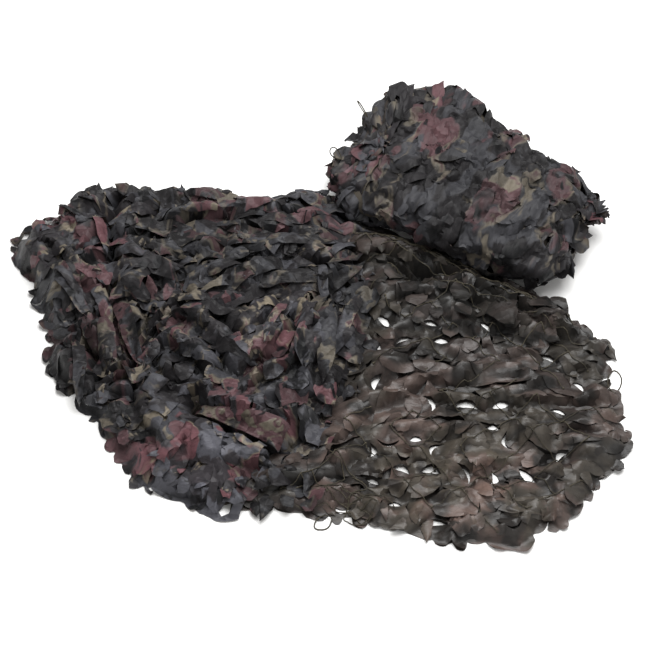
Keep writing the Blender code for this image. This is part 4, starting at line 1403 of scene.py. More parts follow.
# how the overlapping folds run: x, y, degrees across them towards the lower side
foldRuns = metres([
    (-540, 150, 220), (-480, 0, 190), (-400, 130, 262), (-440, 260, 100), (-400, -60, 180), (-250, 280, 85),
    (-80, 280, 95), (-250, 190, 272), (-100, 180, 268), (-200, 110, 275), (-20, 120, 280), (-150, 10, 300),
    (-50, -80, 345), (-250, -100, 235), (-330, -240, 200), (-200, -300, 250), (-80, -200, 290), (40, 0, 350),
    (20, -150, 330),
])
# long folded strips, listed one by one: x, y, degrees, size
heapOwnStrips = metres([
    (-20, -60, 262, 1.0), (10, -40, 268, 1.1), (-475, 10, 88, 1.0), (-400, -10, 84, 1.1),
    (-395, -110, 95, 1.0), (-290, 150, 5, 1.1), (-165, 214, 4, 1.1), (-170, 165, -5, 1.1),
    (-60, 150, 8, 1.0), (-240, 100, 12, 1.1), (-100, 60, 4, 1.1),
])
# leaves listed one by one: x, y, degrees, length, width, kind, tilt, curl
heapOwnFlaps = metres([
    (-330, -200, 250, 55, 40, "tongue", 12, 0.5), (-40, -40, 265, 55, 34, "tongue", 14, 0.6),
    (-500, 175, 235, 52, 60, "tongue", 8, 0.4), (-20, 275, 280, 40, 72, "tongue", 12, 0.5),
    (-205, 70, 200, 54, 36, "tongue", 14, 0.4),
], 0, 1, 3, 4)
# dark valleys between the folds, in metres: half width, depth and the x, y places of each line
heapGrooves = [
    (0.013, 0.036, [(-0.235, -0.210), (-0.158, -0.258), (-0.085, -0.300)]),
    (0.014, 0.030, [(-0.082, -0.304), (-0.050, -0.285), (-0.030, -0.255)]),
    (0.010, 0.022, [(-0.400, 0.265), (-0.412, 0.190), (-0.404, 0.110)]),
    (0.010, 0.022, [(-0.396, 0.060), (-0.410, -0.010), (-0.402, -0.060)]),
    (0.011, 0.028, [(-0.316, 0.245), (-0.306, 0.150)]),
    (0.010, 0.026, [(-0.492, 0.010), (-0.480, -0.070)]),
    (0.010, 0.026, [(-0.440, -0.055), (-0.405, -0.150)]),
    (0.010, 0.024, [(-0.360, -0.050), (-0.345, -0.190)]),
]
# places where the folds stay low, in metres: x, y, reach and how low
heapCalm = [(-0.225, -0.315, 0.110, 0.25), (-0.505, 0.180, 0.060, 0.35), (-0.280, -0.230, 0.080, 0.5),
            (-0.140, -0.235, 0.070, 0.2)]
stepSetup = {
    "offset": 0.37,  # how far each run's folds are shifted, in spacings
    "strays": [(0.42, 0.085, 91.0), (0.14, 0.030, 92.0)],  # in spacings, size and seed
    "rise": 0.72,  # share of a fold that rises
}


def foldSteps(x, y, runs, spacing):
    # long rises that each end in a short drop, like strips that lie over one another, from 0 to 1
    total = 0.0
    field = 0.0
    for k, (px, py, turn) in enumerate(runs):
        dx = x - px - planShift.x
        dy = y - py - planShift.y
        weight = 1 / (0.0006 + dx * dx + dy * dy) ** 2
        aim = turnedAim(turn)
        field += weight * (dx * aim.x + dy * aim.y + stepSetup["offset"] * k * spacing)
        total += weight
    phase = field / total / spacing
    for amount, size, seed in stepSetup["strays"]:
        phase += amount * ripple(x, y, size, seed)
    share = phase % 1.0
    rise = stepSetup["rise"]
    return ease(share / rise) if share < rise else ease((1.0 - share) / (1.0 - rise))


def hemPlace(along, back):
    # a place on the hem strip in plan: share of its length, and distance behind its edge
    start, end = (Vector(place + (0.0,)) + planShift for place in (hemSetup["start"], hemSetup["end"]))
    run = end - start
    side = Vector((-run.y, run.x, 0.0)).normalized()
    return start + run * along + side * back


def hemReach(along):
    return hemSetup["narrow"] + (hemSetup["wide"] - hemSetup["narrow"]) * ease(along)


def hemOutline():
    corners = [hemPlace(0.0, 0.0), hemPlace(1.0, 0.0), hemPlace(1.0, hemSetup["wide"]),
               hemPlace(0.5, hemReach(0.5)), hemPlace(0.0, hemSetup["narrow"])]
    return [(corner.x, corner.y) for corner in corners]


def makeHem(surfaceAt, setup):
    # a flat strip with its front edge turned under, which rests on the folds behind it
    last = setup["columns"]
    backDrop, backFrom = setup["backDrop"]
    endDrop, endShare = setup["endDrop"]
    points = []
    for k in range(last + 1):
        along = k / last
        reach = hemReach(along)
        profile = list(setup["turnedUnder"])
        for share in setup["across"]:
            down = backDrop * ease((share - backFrom) / (1 - backFrom))
            profile.append((reach * share, setup["swell"] * math.sin(3 * share) - down))
        for back, rise in profile:
            place = hemPlace(along, back)
            ground, _ = surfaceAt(place.x, place.y, True)
            ends = endDrop * (1 - ease(min(along, 1 - along) / endShare))
            uneven = setup["unevenness"] * ripple(place.x, place.y, 0.05, 95.0)
            points.append((place.x, place.y, ground.z + setup["lift"] + rise - ends + uneven))
    rows = len(points) // (last + 1)
    faces = [(k * rows + j, (k + 1) * rows + j, (k + 1) * rows + j + 1, k * rows + j + 1)
             for k in range(last) for j in range(rows - 1)]
    mesh = bpy.data.meshes.new("heapHem")
    mesh.from_pydata(points, [], faces)
    storeVectors(mesh, "clothPlace", [Vector(point) * heapSetup["grow"] for point in points])
    storeValues(mesh, "leafTone", [setup["tone"]] * len(points))
    storeValues(mesh, "printLean", [setup["printLean"]] * len(points))
    mesh.shade_smooth()
    mesh.materials.append(printedCloth)
    return linkObject(bpy.data.objects.new("heapHem", mesh))


def makeHeapSurface(setup):
    # the smooth form under the cloth, read from the CAD sheet
    base = subdivide(meshObject("heapForm", layerMesh({"heap"}), printedCloth), setup["subdivisions"])
    tree = BVHTree.FromObject(base, bpy.context.evaluated_depsgraph_get())
    rim = clothPlan["heapEdge"]
    free = clothPlan["freeEdge"]
    laid = BVHTree.FromBMesh(layerMesh({"laid", "under"}))
    grooves = [(half, depth, shifted(line)) for half, depth, line in heapGrooves]
    hem = hemOutline()

    def surfaceAt(x, y, bare=False):
        hit, normal = tree.ray_cast(Vector((x, y, 1.0)), Vector((0, 0, -1)))[:2]
        if bare:
            return hit, normal
        rimDistance = pathDistance(x, y, rim)
        freeDistance = pathDistance(x, y, free[1:-1])
        if hit is None:
            hit = Vector((x, y, 0.006))
            normal = Vector((0, 0, 1))
        fold = foldSteps(x, y, foldRuns, setup["foldSpacing"]) - setup["foldMiddle"]
        for px, py, reach, low in heapCalm:
            away = math.hypot(x - planShift.x - px, y - planShift.y - py) / reach
            fold *= low + (1 - low) * ease(away - 0.35)
        height = hit.z + setup["foldHeight"] * fold * ease(rimDistance / setup["foldFrom"])
        if insideArea(x, y, hem):
            height = min(height, hit.z - hemSetup["bed"])
        strayX = x + setup["stray"] * ripple(x, y, setup["straySize"], 81.0)
        strayY = y + setup["stray"] * ripple(x, y, setup["straySize"], 82.0)
        for half, depth, line in grooves:
            away = pathDistance(strayX, strayY, line) / half
            height -= depth * math.exp(-away * away) * ease(rimDistance / setup["grooveFrom"])
        atEdge, reach = setup["rimRise"]
        height = setup["rimHeight"] + (height - setup["rimHeight"]) * ease(atEdge + rimDistance / reach)
        below = laid.ray_cast(Vector((x, y, 0.05)), Vector((0, 0, -1)))[0]
        floorHeight = (below.z if below else 0.0) + setup["overLaid"]
        atEdge, reach = setup["freeRise"]
        share = ease(atEdge + freeDistance / reach)
        height = max(floorHeight + (height - floorHeight) * share, floorGap)
        return Vector((x, y, height)), raisedNormal(normal, 1.2)

    return base, surfaceAt


def edgeRows(setup, surfaceAt):
    # leaves along the edges, most of them pointing out
    rows = []
    for edge, part, pitch, inset, seed, size in setup["edgeLeaves"]:
        path = clothPlan[edge][part]
        chance = random.Random(seed)
        for (ax, ay), (bx, by) in zip(path, path[1:]):
            length = math.hypot(bx - ax, by - ay)
            out = math.degrees(math.atan2(ax - bx, by - ay))
            left = chance.uniform(0.0, pitch)
            while left < length:
                deep = chance.uniform(*inset)
                aim = turnedAim(out + chance.gauss(0.0, leafSwing["edge"]))
                x = ax + (bx - ax) * left / length - turnedAim(out).x * deep
                y = ay + (by - ay) * left / length - turnedAim(out).y * deep
                rows.append((surfaceAt(x, y)[0], Vector((0, 0, 1)), aim, chance.uniform(*size)))
                left += pitch * chance.uniform(0.6, 1.6)
    return rows


def spreadRows(area, spacing, seed, surfaceAt, aimFor, swing, size, clear):
    # leaves spread over an area where it's clear, no two closer than the spacing
    chance = random.Random(seed)
    rows = AreaRows([area])
    taken = NearPlaces(spacing)
    found = []
    left, right, low, high = boxOf(area)
    for _ in range(4000):
        x = chance.uniform(left, right)
        y = chance.uniform(low, high)
        if not rows.holds(x, y) or taken.close(x, y, spacing) or not clear(x, y):
            continue
        taken.add([(x, y)])
        place, normal = surfaceAt(x, y)
        aim = aimFor(x, y)
        turn = math.degrees(math.atan2(aim.y, aim.x)) + chance.gauss(0.0, swing)
        found.append((place, raisedNormal(normal), turnedAim(turn), chance.uniform(*size)))
    return found


def makeHeap(setup):
    form, surfaceAt = makeHeapSurface(setup)
    heapEdge = clothPlan["heapEdge"]
    freeEdge = clothPlan["freeEdge"]
    rim = leafyBorder(heapEdge, setup["borderPitch"], setup["borderDepth"], 3)
    free = leafyBorder(freeEdge[::-1], setup["borderPitch"], -setup["borderDepth"], 4)
    area = rim[:-1] + [heapEdge[-1]] + free[1:-1]
    flaps = scatterFlaps(area, handFlaps(heapOwnFlaps), setup, lambda x, y: runAim(x, y, heapRuns),
                         lambda x, y: ease(0.1 + pathDistance(x, y, heapEdge) / 0.07))
    heap = makeCutCloth("heapCloth", area, flaps, [], surfaceAt, setup, printedCloth)
    # a lower layer of the same cloth shows through the cuts; it is darker from real shade, and also painted
    # darker as shade, since it has no tone of its own and so takes the least brightness
    bm = bmesh.new()
    bm.from_mesh(form.data)
    outer = [vert for vert in bm.verts if pathDistance(vert.co.x, vert.co.y, heapEdge) < setup["innerInset"]]
    bmesh.ops.delete(bm, geom=outer, context="VERTS")
    for vert in bm.verts:
        place, _ = surfaceAt(vert.co.x, vert.co.y)
        vert.co.z = max(min(vert.co.z - setup["innerDrop"], place.z - 0.5 * setup["innerDrop"]), innerGap)
    bm.to_mesh(form.data)
    bm.free()
    form.name = "heapInner"
    hem = hemOutline()

    def clear(x, y, inset, room):
        # whether it's far enough from the rim and, as a share, from every calm place and groove and the hem
        near = [math.hypot(x - planShift.x - px, y - planShift.y - py) / reach
                for px, py, reach, _ in heapCalm]
        near += [pathDistance(x - planShift.x, y - planShift.y, line) / setup["grooveRoom"]
                 for _, _, line in heapGrooves]
        near.append(0.0 if insideArea(x, y, hem) else pathDistance(x, y, hem) / setup["hemRoom"])
        return pathDistance(x, y, heapEdge) > inset and min(near) > room

    def along(x, y):
        aim = runAim(x, y, foldRuns)
        return Vector((-aim.y, aim.x, 0.0))

    plain = heapEdge + freeEdge[1:-1]
    rows = spreadRows(plain, setup["leafSpacing"], 21, surfaceAt, lambda x, y: runAim(x, y, heapRuns),
                      leafSwing["heap"], (0.9, 1.35), lambda x, y: clear(x, y, setup["leafInset"], 0.9))
    rows += edgeRows(setup, surfaceAt)
    rows = [row for row in rows if row[0].x > setup["leftmostLeaf"] + planShift.x]
    look = (heap, printedCloth, setup["grow"], setup["lean"], setup["shades"])
    leaves = setLeaves("heapLeaves", rows, *look)
    rows = spreadRows(plain, setup["stripSpacing"], 23, surfaceAt, along, leafSwing["strip"], (0.65, 1.1),
                      lambda x, y: clear(x, y, setup["stripInset"], 0.95) and y > setup["stripLowest"])
    strips = setLeaves("heapStrips", rows + handRows(heapOwnStrips, surfaceAt), *look)
    return heap, form, leaves, strips, makeHem(surfaceAt, hemSetup)


heapCloth, heapInner, heapLeaves, heapStrips, heapHem = makeHeap(heapSetup)
print("the heap has its loose leaves and strips")


# ---- the laid stretch, back side up

laidSetup = {
    "grow": 1.075,
    "gather": 1.15,
    "step": 0.0062,
    "keep": 0.75,
    "crisp": 44.0,
    "seed": 8,
    "tries": 9000,
    "length": (0.040, 0.090),
    "width": (0.026, 0.050),
    "kinds": ["tongue", "tongue", "point", "drop"],
    "tilt": (1.0, 9.0),
    "curl": (0.2, 1.4),
    "swing": 60.0,
    "room": 0.0042,
    "foldSpacing": 0.058,
    "foldHeight": 0.017,
    "roughness": [(0.040, 0.0030, 13.0), (0.013, 0.0004, 19.0)],
    "pleatReach": 0.060,
    "pleats": 3.0,
    "pleatHeight": 0.020,
    # painted light and shade near a place: x, y, reach and how much lighter, or darker below zero
    "shades": [(0.280, 0.060, 0.170, -0.85), (0.230, -0.370, 0.190, 1.10), (-0.050, -0.350, 0.060, -0.75),
               (0.060, -0.180, 0.050, -0.30)],
    "lean": [],
    "gapGrow": 1.15,
    "gapSink": 0.023,
    "leafSpacing": 0.100,
    "leafRoom": 0.040,  # least distance of leaves to the middle of a gap
    "edgeLeaves": [("laidEdge", slice(None), 0.044, (0.022, 0.044), 31, (0.6, 1.0))],
    "pleatLeafSpacing": 0.030,
    "pleatLeafRoom": 0.026,
    # painted shade on the printed corner leaves: x, y, reach and how much lighter, darker below zero
    "cornerShades": [(-0.080, -0.370, 0.090, -0.45)],
    "edgeHeight": 0.002,
    "edgeRise": (0.1, 0.04),  # share of the height at the edge, and how far in it is full
    "hiddenFrom": 0.05,
    "sinkShare": 0.85,
    "valleySize": 0.012,
    "valleyDepth": 0.006,
    "longFolds": [(0.17, 0.036, 0.0130, 71.0), (0.10, 0.019, 0.0035, 73.0)],  # length, width, height, seed
    "tiePitch": 0.062,
    "tieTurn": 38.0,
    "tieDepth": 0.002,
    "bending": 0.7,
    "frames": 18,
    "borderPitch": 0.042,
    "borderDepth": 0.008,
    "innerStep": 0.014,
    "innerGather": 1.0,
    "innerDrop": 0.0035,
}
# which way the leaves point: x, y, degrees
laidRuns = metres([
    (150, 120, 300), (300, 50, 290), (440, -20, 320), (130, 0, 250), (250, -50, 265), (380, -80, 285),
    (500, -120, 350), (120, -150, 250), (250, -180, 265), (400, -200, 290), (520, -260, 340), (80, -300, 240),
    (220, -300, 262), (360, -320, 285), (440, -380, 310), (0, -380, 255), (150, -420, 265), (300, -450, 280),
])
# the gathered pleats run along this line, in front of the roll
pleatLine = shifted(metres([(40, 175), (149, 150), (226, 108), (338, 50), (465, -6)]))
# how the folds run: x, y, degrees across them towards the lower side
laidFolds = metres([
    (150, 120, 244), (300, 60, 244), (440, -20, 244), (120, 0, 320), (250, -50, 262), (400, -100, 255),
    (120, -150, 300), (250, -180, 268), (400, -200, 262), (520, -200, 300), (60, -300, 300), (220, -300, 272),
    (360, -320, 262), (480, -300, 230), (150, -400, 275), (300, -430, 265),
])
# where the sheet ends under the roll and under the heap, on from the end of its front edge
laidHidden = shifted(metres([
    (455, 26), (400, 70), (280, 146), (180, 195), (83, 242), (12, 200), (30, 130), (50, 70), (57, 10),
    (44, -60), (22, -115), (28, -155), (5, -180), (-20, -215), (-30, -265), (-75, -290), (-120, -315),
    (-158, -352),
]))
pleatArea = shifted(metres([
    (60, 195), (120, 185), (200, 150), (300, 105), (400, 50), (470, 10), (515, -50), (420, -65), (300, -40),
    (180, -10), (110, 10), (80, 100),
]))
# printed leaves of the heap's lower corner, which lie out over this sheet: x, y, degrees, size
cornerRows = metres([
    (-152, -378, 262, 0.9), (-130, -362, 240, 1.1), (-118, -384, 275, 0.9), (-100, -352, 232, 1.0),
    (-92, -378, 250, 1.1), (-68, -348, 225, 1.1), (-62, -382, 268, 0.9), (-40, -362, 240, 1.0),
    (-30, -390, 285, 0.8), (-12, -368, 255, 0.9), (-50, -325, 235, 1.0), (-20, -340, 245, 0.9),
])
# wide leaves, listed one by one, which end the longer folds: x, y, degrees, length, width, kind, tilt, curl
laidOwnFlaps = metres([
    (255, -205, 269, 26, 225, "square", 17, 0.0), (75, -318, 262, 26, 95, "square", 15, 0.0),
    (430, -30, 258, 28, 120, "square", 15, 0.0), (230, -70, 266, 30, 110, "tongue", 14, 0.2),
    (250, -392, 272, 40, 110, "tongue", 12, 0.3), (410, -262, 260, 34, 90, "tongue", 13, 0.3),
    (320, -120, 266, 30, 120, "square", 15, 0.0), (150, -95, 274, 30, 90, "tongue", 15, 0.2),
    (345, -392, 262, 32, 100, "tongue", 14, 0.2), (45, -340, 258, 26, 80, "square", 14, 0.0),
    (470, -255, 275, 28, 80, "tongue", 14, 0.3),
], 0, 1, 3, 4)


def gapOutline(x, y, length, width, turn, bow):
    uneven = 0.5 + 0.5 * abs(math.sin(900 * x + 500 * y))
    length *= laidSetup["gapGrow"] * (1.3 - 0.3 * uneven)
    width *= laidSetup["gapGrow"] * uneven
    aim = turnedAim(turn)
    places = []
    for k in range(12):
        angle = 2 * math.pi * k / 12
        along = length / 2 * math.cos(angle)
        aside = width / 2 * math.sin(angle) * abs(math.sin(angle)) ** 0.6 + 1.6 * bow * math.sin(angle) ** 2
        places.append((x + planShift.x + aim.x * along - aim.y * aside,
                       y + planShift.y + aim.y * along + aim.x * aside))
    return places


def makeLaid(setup):
    tree = BVHTree.FromBMesh(layerMesh({"laid", "under"}))
    middles = [(x + planShift.x, y + planShift.y) for x, y, *_ in cutGaps]

    def surfaceAt(x, y):
        hit, normal = tree.ray_cast(Vector((x, y, 0.06)), Vector((0, 0, -1)))[:2]
        if hit is None:
            hit = Vector((x, y, 0.003))
            normal = Vector((0, 0, 1))
        atEdge, reach = setup["edgeRise"]
        edge = ease(atEdge + pathDistance(x, y, clothPlan["laidEdge"]) / reach)
        hidden = ease(pathDistance(x, y, laidHidden) / setup["hiddenFrom"])
        height = hit.z + setup["foldHeight"] * foldSteps(x, y, laidFolds, setup["foldSpacing"]) * hidden
        for long, wide, high, seed in setup["longFolds"]:
            crest = abs(noise.noise(Vector(((x + 0.3 * y) / long, (y - 0.12 * x) / wide, seed))))
            height += hidden * high * (1 - 2.4 * crest)
        front = pathDistance(x, y, pleatLine) / setup["pleatReach"]
        if front < 1:
            wave = front * setup["pleats"] + 0.6 * ripple(x, y, 0.09, 61.0)
            height += setup["pleatHeight"] * (1 - 2 * abs(wave % 1.0 - 0.5)) * ease(2 * (1 - front))
        nearest = min((x - gx) ** 2 + (y - gy) ** 2 for gx, gy in middles)
        edge *= 1 - setup["sinkShare"] * math.exp(-nearest / setup["gapSink"] ** 2)
        hit.z = max(floorGap, setup["edgeHeight"] + (height - setup["edgeHeight"]) * edge)
        return hit, raisedNormal(normal, 2.0)

    holes = [gapOutline(*row) for row in cutGaps]
    area = leafyBorder(clothPlan["laidEdge"], setup["borderPitch"], setup["borderDepth"], 6) + laidHidden
    inner, _ = cutSheet(area, [], holes, setup["innerStep"], 2)
    for vert in inner.verts:
        place, _ = surfaceAt(vert.co.x, vert.co.y)
        vert.co.z = max(0.5 * place.z - setup["innerDrop"], innerGap)
    inner = meshObject("laidInner", inner, backCloth)
    taken = [dict(outline=hole, x=hole[0][0], y=hole[0][1], aim=Vector((1, 0, 0)), length=0.0, width=0.0)
             for hole in holes]
    taken += handFlaps(laidOwnFlaps)
    flaps = scatterFlaps(area, taken, setup, lambda x, y: runAim(x, y, laidRuns))[len(holes):]
    laid = makeCutCloth("laidCloth", area, flaps, holes, surfaceAt, setup, backCloth)

    def spread(place, spacing, seed, swing, size, room):
        return spreadRows(place, spacing, seed, surfaceAt, lambda x, y: runAim(x, y, laidRuns), swing, size,
                          lambda x, y: all(math.hypot(x - gx, y - gy) > room for gx, gy in middles))

    rows = edgeRows(setup, surfaceAt)
    rows += spread(clothPlan["laidEdge"] + laidHidden, setup["leafSpacing"], 32, leafSwing["laid"],
                   (0.8, 1.2), setup["leafRoom"])
    leaves = setLeaves("laidLeaves", rows, laid, backCloth, setup["grow"], (), setup["shades"])
    # crisp leaves that lie over one another on the pleats in front of the roll
    rows = spread(pleatArea, setup["pleatLeafSpacing"], 33, leafSwing["pleat"], (0.75, 1.2),
                  setup["pleatLeafRoom"])
    pleated = setLeaves("pleatLeaves", rows, laid, pleatBack, setup["grow"], (), setup["shades"])
    corner = setLeaves("cornerLeaves", handRows(cornerRows, surfaceAt), laid, printedCloth, setup["grow"], (),
                       setup["cornerShades"])
    return laid, inner, leaves, pleated, corner


laidCloth, laidInner, laidLeaves, pleatLeaves, cornerLeaves = makeLaid(laidSetup)


# ---- the roll

rollSetup = {
    "corner": (0.066, 0.206),
    "turn": -26.0,
    "ends": (-0.010, 0.395),  # where along the roll its rounded ends start
    "axis": (0.155, 0.062),  # how far back and up the middle lies
    "capTurn": 78.0,
    "capLength": 0.120,
    "under": -32.0,  # where round the section the sheet starts and stops, in degrees from the back
    "over": 214.0,
    "grow": 1.15,
    "gather": 1.12,
    "step": 0.0062,
    "keep": 0.7,
    "crisp": 36.0,
    "seed": 11,
    "tries": 460,
    "length": (0.046, 0.084),
    "width": (0.026, 0.042),
    "drawnIn": 0.050,  # how far the lower right end lies back
    # where it starts before the right end, over which length, and up to which height times which part of it
    "drawnRange": (0.05, 0.12, 1.2, 0.11),
    "borderPitch": 0.05,
    "borderDepth": 0.008,
    "roundSlack": 0.002,  # how far the border may pass the first and the last line round
    "ringSteps": 96,
    "printTurn": 0.42,  # share of the way round from which the leaves point the other way
    "grooveStray": (0.014, 0.04),
    # the strips at the left end: how many, how many deep, pitch, stray, start and share round, stray and size
    "layerStrips": (22, 4, 0.017, 0.004, (0.30, 0.64), 0.02, (0.4, 0.62)),
    "kinds": ["tongue", "tongue", "drop"],
    "tilt": (0.2, 2.8),
    "curl": (0.3, 1.4),
    "swing": 40.0,
    "room": 0.0055,
    "roughness": [(0.034, 0.0045, 23.0), (0.012, 0.0014, 29.0)],
    # painted light and shade near a place on the flat cloth: x, y, reach and how much lighter, or darker
    # below zero
    "shades": [(-0.080, 0.300, 0.110, -0.55), (0.200, 0.300, 0.300, -0.50), (0.030, 0.290, 0.060, 0.75)],
    "lean": [(-0.010, 0.170, 0.060, 0.070), (0.060, 0.265, 0.050, 0.075), (0.180, 0.270, 0.080, 0.055)],
    "tiePitch": 0.062,
    "tieTurn": 38.0,
    "tieDepth": 0.003,
    "bending": 0.3,
    "frames": 18,
    "innerDrop": 0.010,
    "innerShort": 0.045,  # how much further in the inner layer ends, low down at the right end
    "innerRange": (0.10, 0.08, 1.6, 0.08),
}
# hollows where the wound layers part: half width, depth, and places, each as the distance along the
# roll and the share of the way round
rollGrooves = [
    (0.008, 0.020, [(-0.012, 0.50), (-0.006, 0.66), (-0.018, 0.80)]),
    (0.008, 0.018, [(-0.045, 0.45), (-0.040, 0.62), (-0.050, 0.75)]),
    (0.012, 0.030, [(-0.030, 0.70), (-0.022, 0.71)]),
    (0.010, 0.024, [(-0.004, 0.80), (0.012, 0.86)]),
    (0.008, 0.014, [(0.030, 0.84), (0.050, 0.88)]),
]
# where it swells out or is drawn in: distance from the left or the right end, share of the way round,
# reach and how far out
rollSwells = [
    ("left", -0.020, 0.28, 0.052, 0.032), ("left", -0.085, 0.37, 0.052, -0.034),
    ("left", 0.120, 0.27, 0.030, 0.006), ("left", 0.175, 0.27, 0.045, -0.010),
    ("right", 0.030, 0.27, 0.050, 0.015), ("right", -0.045, 0.27, 0.050, 0.014),
    ("right", 0.070, 0.64, 0.085, -0.036),
]


def makeRoll(setup):
    form = subdivide(meshObject("rollForm", mergedCopy("rolled_cloth"), rollCover), 1)
    tree = BVHTree.FromObject(form, bpy.context.evaluated_depsgraph_get())
    alongAim = turnedAim(setup["turn"])
    backAim = Vector((-alongAim.y, alongAim.x, 0.0))
    corner = Vector(setup["corner"] + (0.0,)) + planShift
    first, last = setup["ends"]

    def rayAt(along, angle, tip):
        origin = corner + alongAim * along + backAim * setup["axis"][0] + Vector((0, 0, setup["axis"][1]))
        outward = backAim * math.cos(angle) + Vector((0, 0, math.sin(angle)))
        aim = outward * math.cos(tip) + alongAim * math.sin(tip)
        hit, normal = tree.ray_cast(origin, aim)[:2]
        if hit is None:
            hit = origin + aim * 0.1
            normal = aim
        return hit, normal, aim

    # the angle for each length round the section
    steps = setup["ringSteps"]
    low = math.radians(setup["under"])
    high = math.radians(setup["over"])
    angles = [low + (high - low) * k / steps for k in range(steps + 1)]
    ring = [rayAt((first + last) / 2, angle, 0.0)[0] for angle in angles]
    lengths = [0.0]
    for a, b in zip(ring, ring[1:]):
        lengths.append(lengths[-1] + (b - a).length)

    def angleAt(v):
        k = 0
        while k < steps - 1 and lengths[k + 1] < v:
            k += 1
        share = (v - lengths[k]) / (lengths[k + 1] - lengths[k])
        return angles[k] + (angles[k + 1] - angles[k]) * share

    def pulledIn(place, far, within):
        # the place, moved in when it is low down at the right end
        before, length, top, height = within
        along = (place - corner).dot(alongAim)
        share = ease((along - last + before) / length) * ease(top - place.z / height)
        return place - alongAim * far * share

    around = lengths[-1]

    def placeAt(u, v):
        along = min(max(u, first), last)
        return rayAt(along, angleAt(v), math.radians(setup["capTurn"]) * (u - along) / setup["capLength"])

    swells = []
    for end, along, share, reach, out in rollSwells:
        middle, _, aim = placeAt(along + (first if end == "left" else last), share * around)
        swells.append((middle, aim, reach, out))

    def reshaped(place):
        for middle, aim, reach, out in swells:
            place = place + aim * out * math.exp(-((place - middle).length / reach) ** 2)
        return pulledIn(place, setup["drawnIn"], setup["drawnRange"])

    lines = [(half, depth, [(u, share * around) for u, share in line]) for half, depth, line in rollGrooves]

    def surfaceAt(u, v):
        hit, normal, aim = placeAt(u, v)
        if normal.dot(aim) < 0:
            normal = -normal
        for half, depth, line in lines:
            stray, size = setup["grooveStray"]
            away = pathDistance(u + stray * ripple(u, v, size, 83.0), v, line) / half
            hit -= aim * depth * math.exp(-away * away)
        hit = reshaped(hit)
        hit.z = max(hit.z, floorGap + 0.004)
        return hit, (normal + aim).normalized()

    left = first - setup["capLength"]
    right = last + setup["capLength"]
    border = [(left, 0.0), (right, 0.0), (right, around), (left, around), (left, 0.0)]
    area = leafyBorder(border, setup["borderPitch"], setup["borderDepth"], 9)
    slack = setup["roundSlack"]
    area = [(u, min(max(v, -slack), around + slack)) for u, v in area[:-1]]
    flaps = scatterFlaps(area, [], setup,
                         lambda u, v: Vector((-0.3, 1.0 if v > around * setup["printTurn"] else -1.0, 0)))
    roll = makeCutCloth("rollCloth", area, flaps, [], surfaceAt, setup, rollCover)
    roll.data.flip_normals()
    # a layer of the same cloth inside, which ends sooner low down at the right end
    inside = [reshaped(vert.co - vert.normal * setup["innerDrop"]) for vert in form.data.vertices]
    for vert, place in zip(form.data.vertices, inside):
        place = pulledIn(place, setup["innerShort"], setup["innerRange"])
        vert.co = (place.x, place.y, max(place.z, innerGap))
    form.name = "rollInner"

    # loose leaves: most at the two ends, where the wound layers part
    chance = random.Random(41)
    rows = []
    # how many, between which places along and round it, which way out and size
    for count, alongRange, roundRange, out, size in (
        (26, (left + 0.015, first + 0.01), (0.12, 0.93), -1.0, (0.65, 1.15)),
        (22, (last + 0.01, right - 0.03), (0.12, 0.93), 1.0, (0.65, 1.15)),
        (3, (first, last), (0.12, 0.93), 0.0, (0.65, 1.15)),
        (5, (first - 0.02, last + 0.04), (0.21, 0.31), 0.0, (0.5, 0.8)),
        (11, (first - 0.035, first + 0.060), (0.23, 0.36), 0.0, (0.8, 1.2)),
        (4, (last + 0.035, last + 0.060), (0.24, 0.31), 1.0, (0.9, 1.2)),
        (9, (right - 0.050, right - 0.004), (0.62, 0.96), 1.0, (0.6, 0.95)),
    ):
        for _ in range(count):
            u = chance.uniform(*alongRange)
            v = chance.uniform(*roundRange) * around
            place, normal = surfaceAt(u, v)
            beside, _ = surfaceAt(u, v + 0.006)
            aside, _ = surfaceAt(u + 0.006, v)
            run = (aside - place).normalized() * out
            down = (beside - place if v > around * 0.45 else place - beside).normalized()
            aim = (run * 1.2 + down * (1.0 if out == 0.0 else 0.4)
                   + Vector([chance.uniform(-0.5, 0.5) for _ in range(3)]))
            rows.append((place, normal, aim.normalized(), chance.uniform(*size)))
    leaves = setLeaves("rollLeaves", rows, roll, rollCover)

    # edges of the wound layers, which run round the left end one outside another
    rows = []
    strips, deep, pitch, stray, (start, turn), turnStray, size = setup["layerStrips"]
    for number in range(strips):
        u = first - stray - pitch * (number % deep) + chance.uniform(-stray, stray)
        v = (start + turn * number / strips + chance.uniform(-turnStray, turnStray)) * around
        place, normal = surfaceAt(u, v)
        beside, _ = surfaceAt(u, v + 0.006)
        rows.append((place, normal, (beside - place).normalized(), chance.uniform(*size)))
    strips = setLeaves("rollStrips", rows, roll, rollCover)
    return roll, form, leaves, strips


rollCloth, rollInner, rollLeaves, rollStrips = makeRoll(rollSetup)


# ---- the carrier net's cords

netSetup = {
    "middle": (0.22, -0.17),
    "reach": 9,
    "turn": 38.0,
    "pitch": 0.062,
    "flatten": 0.9,
    "slack": 0.010,
    "radius": 0.0009,
    "hiddenSides": 0.28,
    "pointStep": 0.006,
    "wander": 0.0040,
    "wanderSize": 0.024,
    "knotRadius": 0.0022,
}
netArea = shifted(metres([
    (-110, -372), (-20, -400), (110, -418), (215, -458), (320, -470), (400, -415), (475, -345), (528, -290),
    (522, -190), (502, -100), (480, -40), (450, -20), (340, 30), (225, 85), (130, 125), (96, 90), (106, 10),
    (94, -72), (72, -120), (76, -168), (26, -228), (20, -290), (-48, -330),
]))
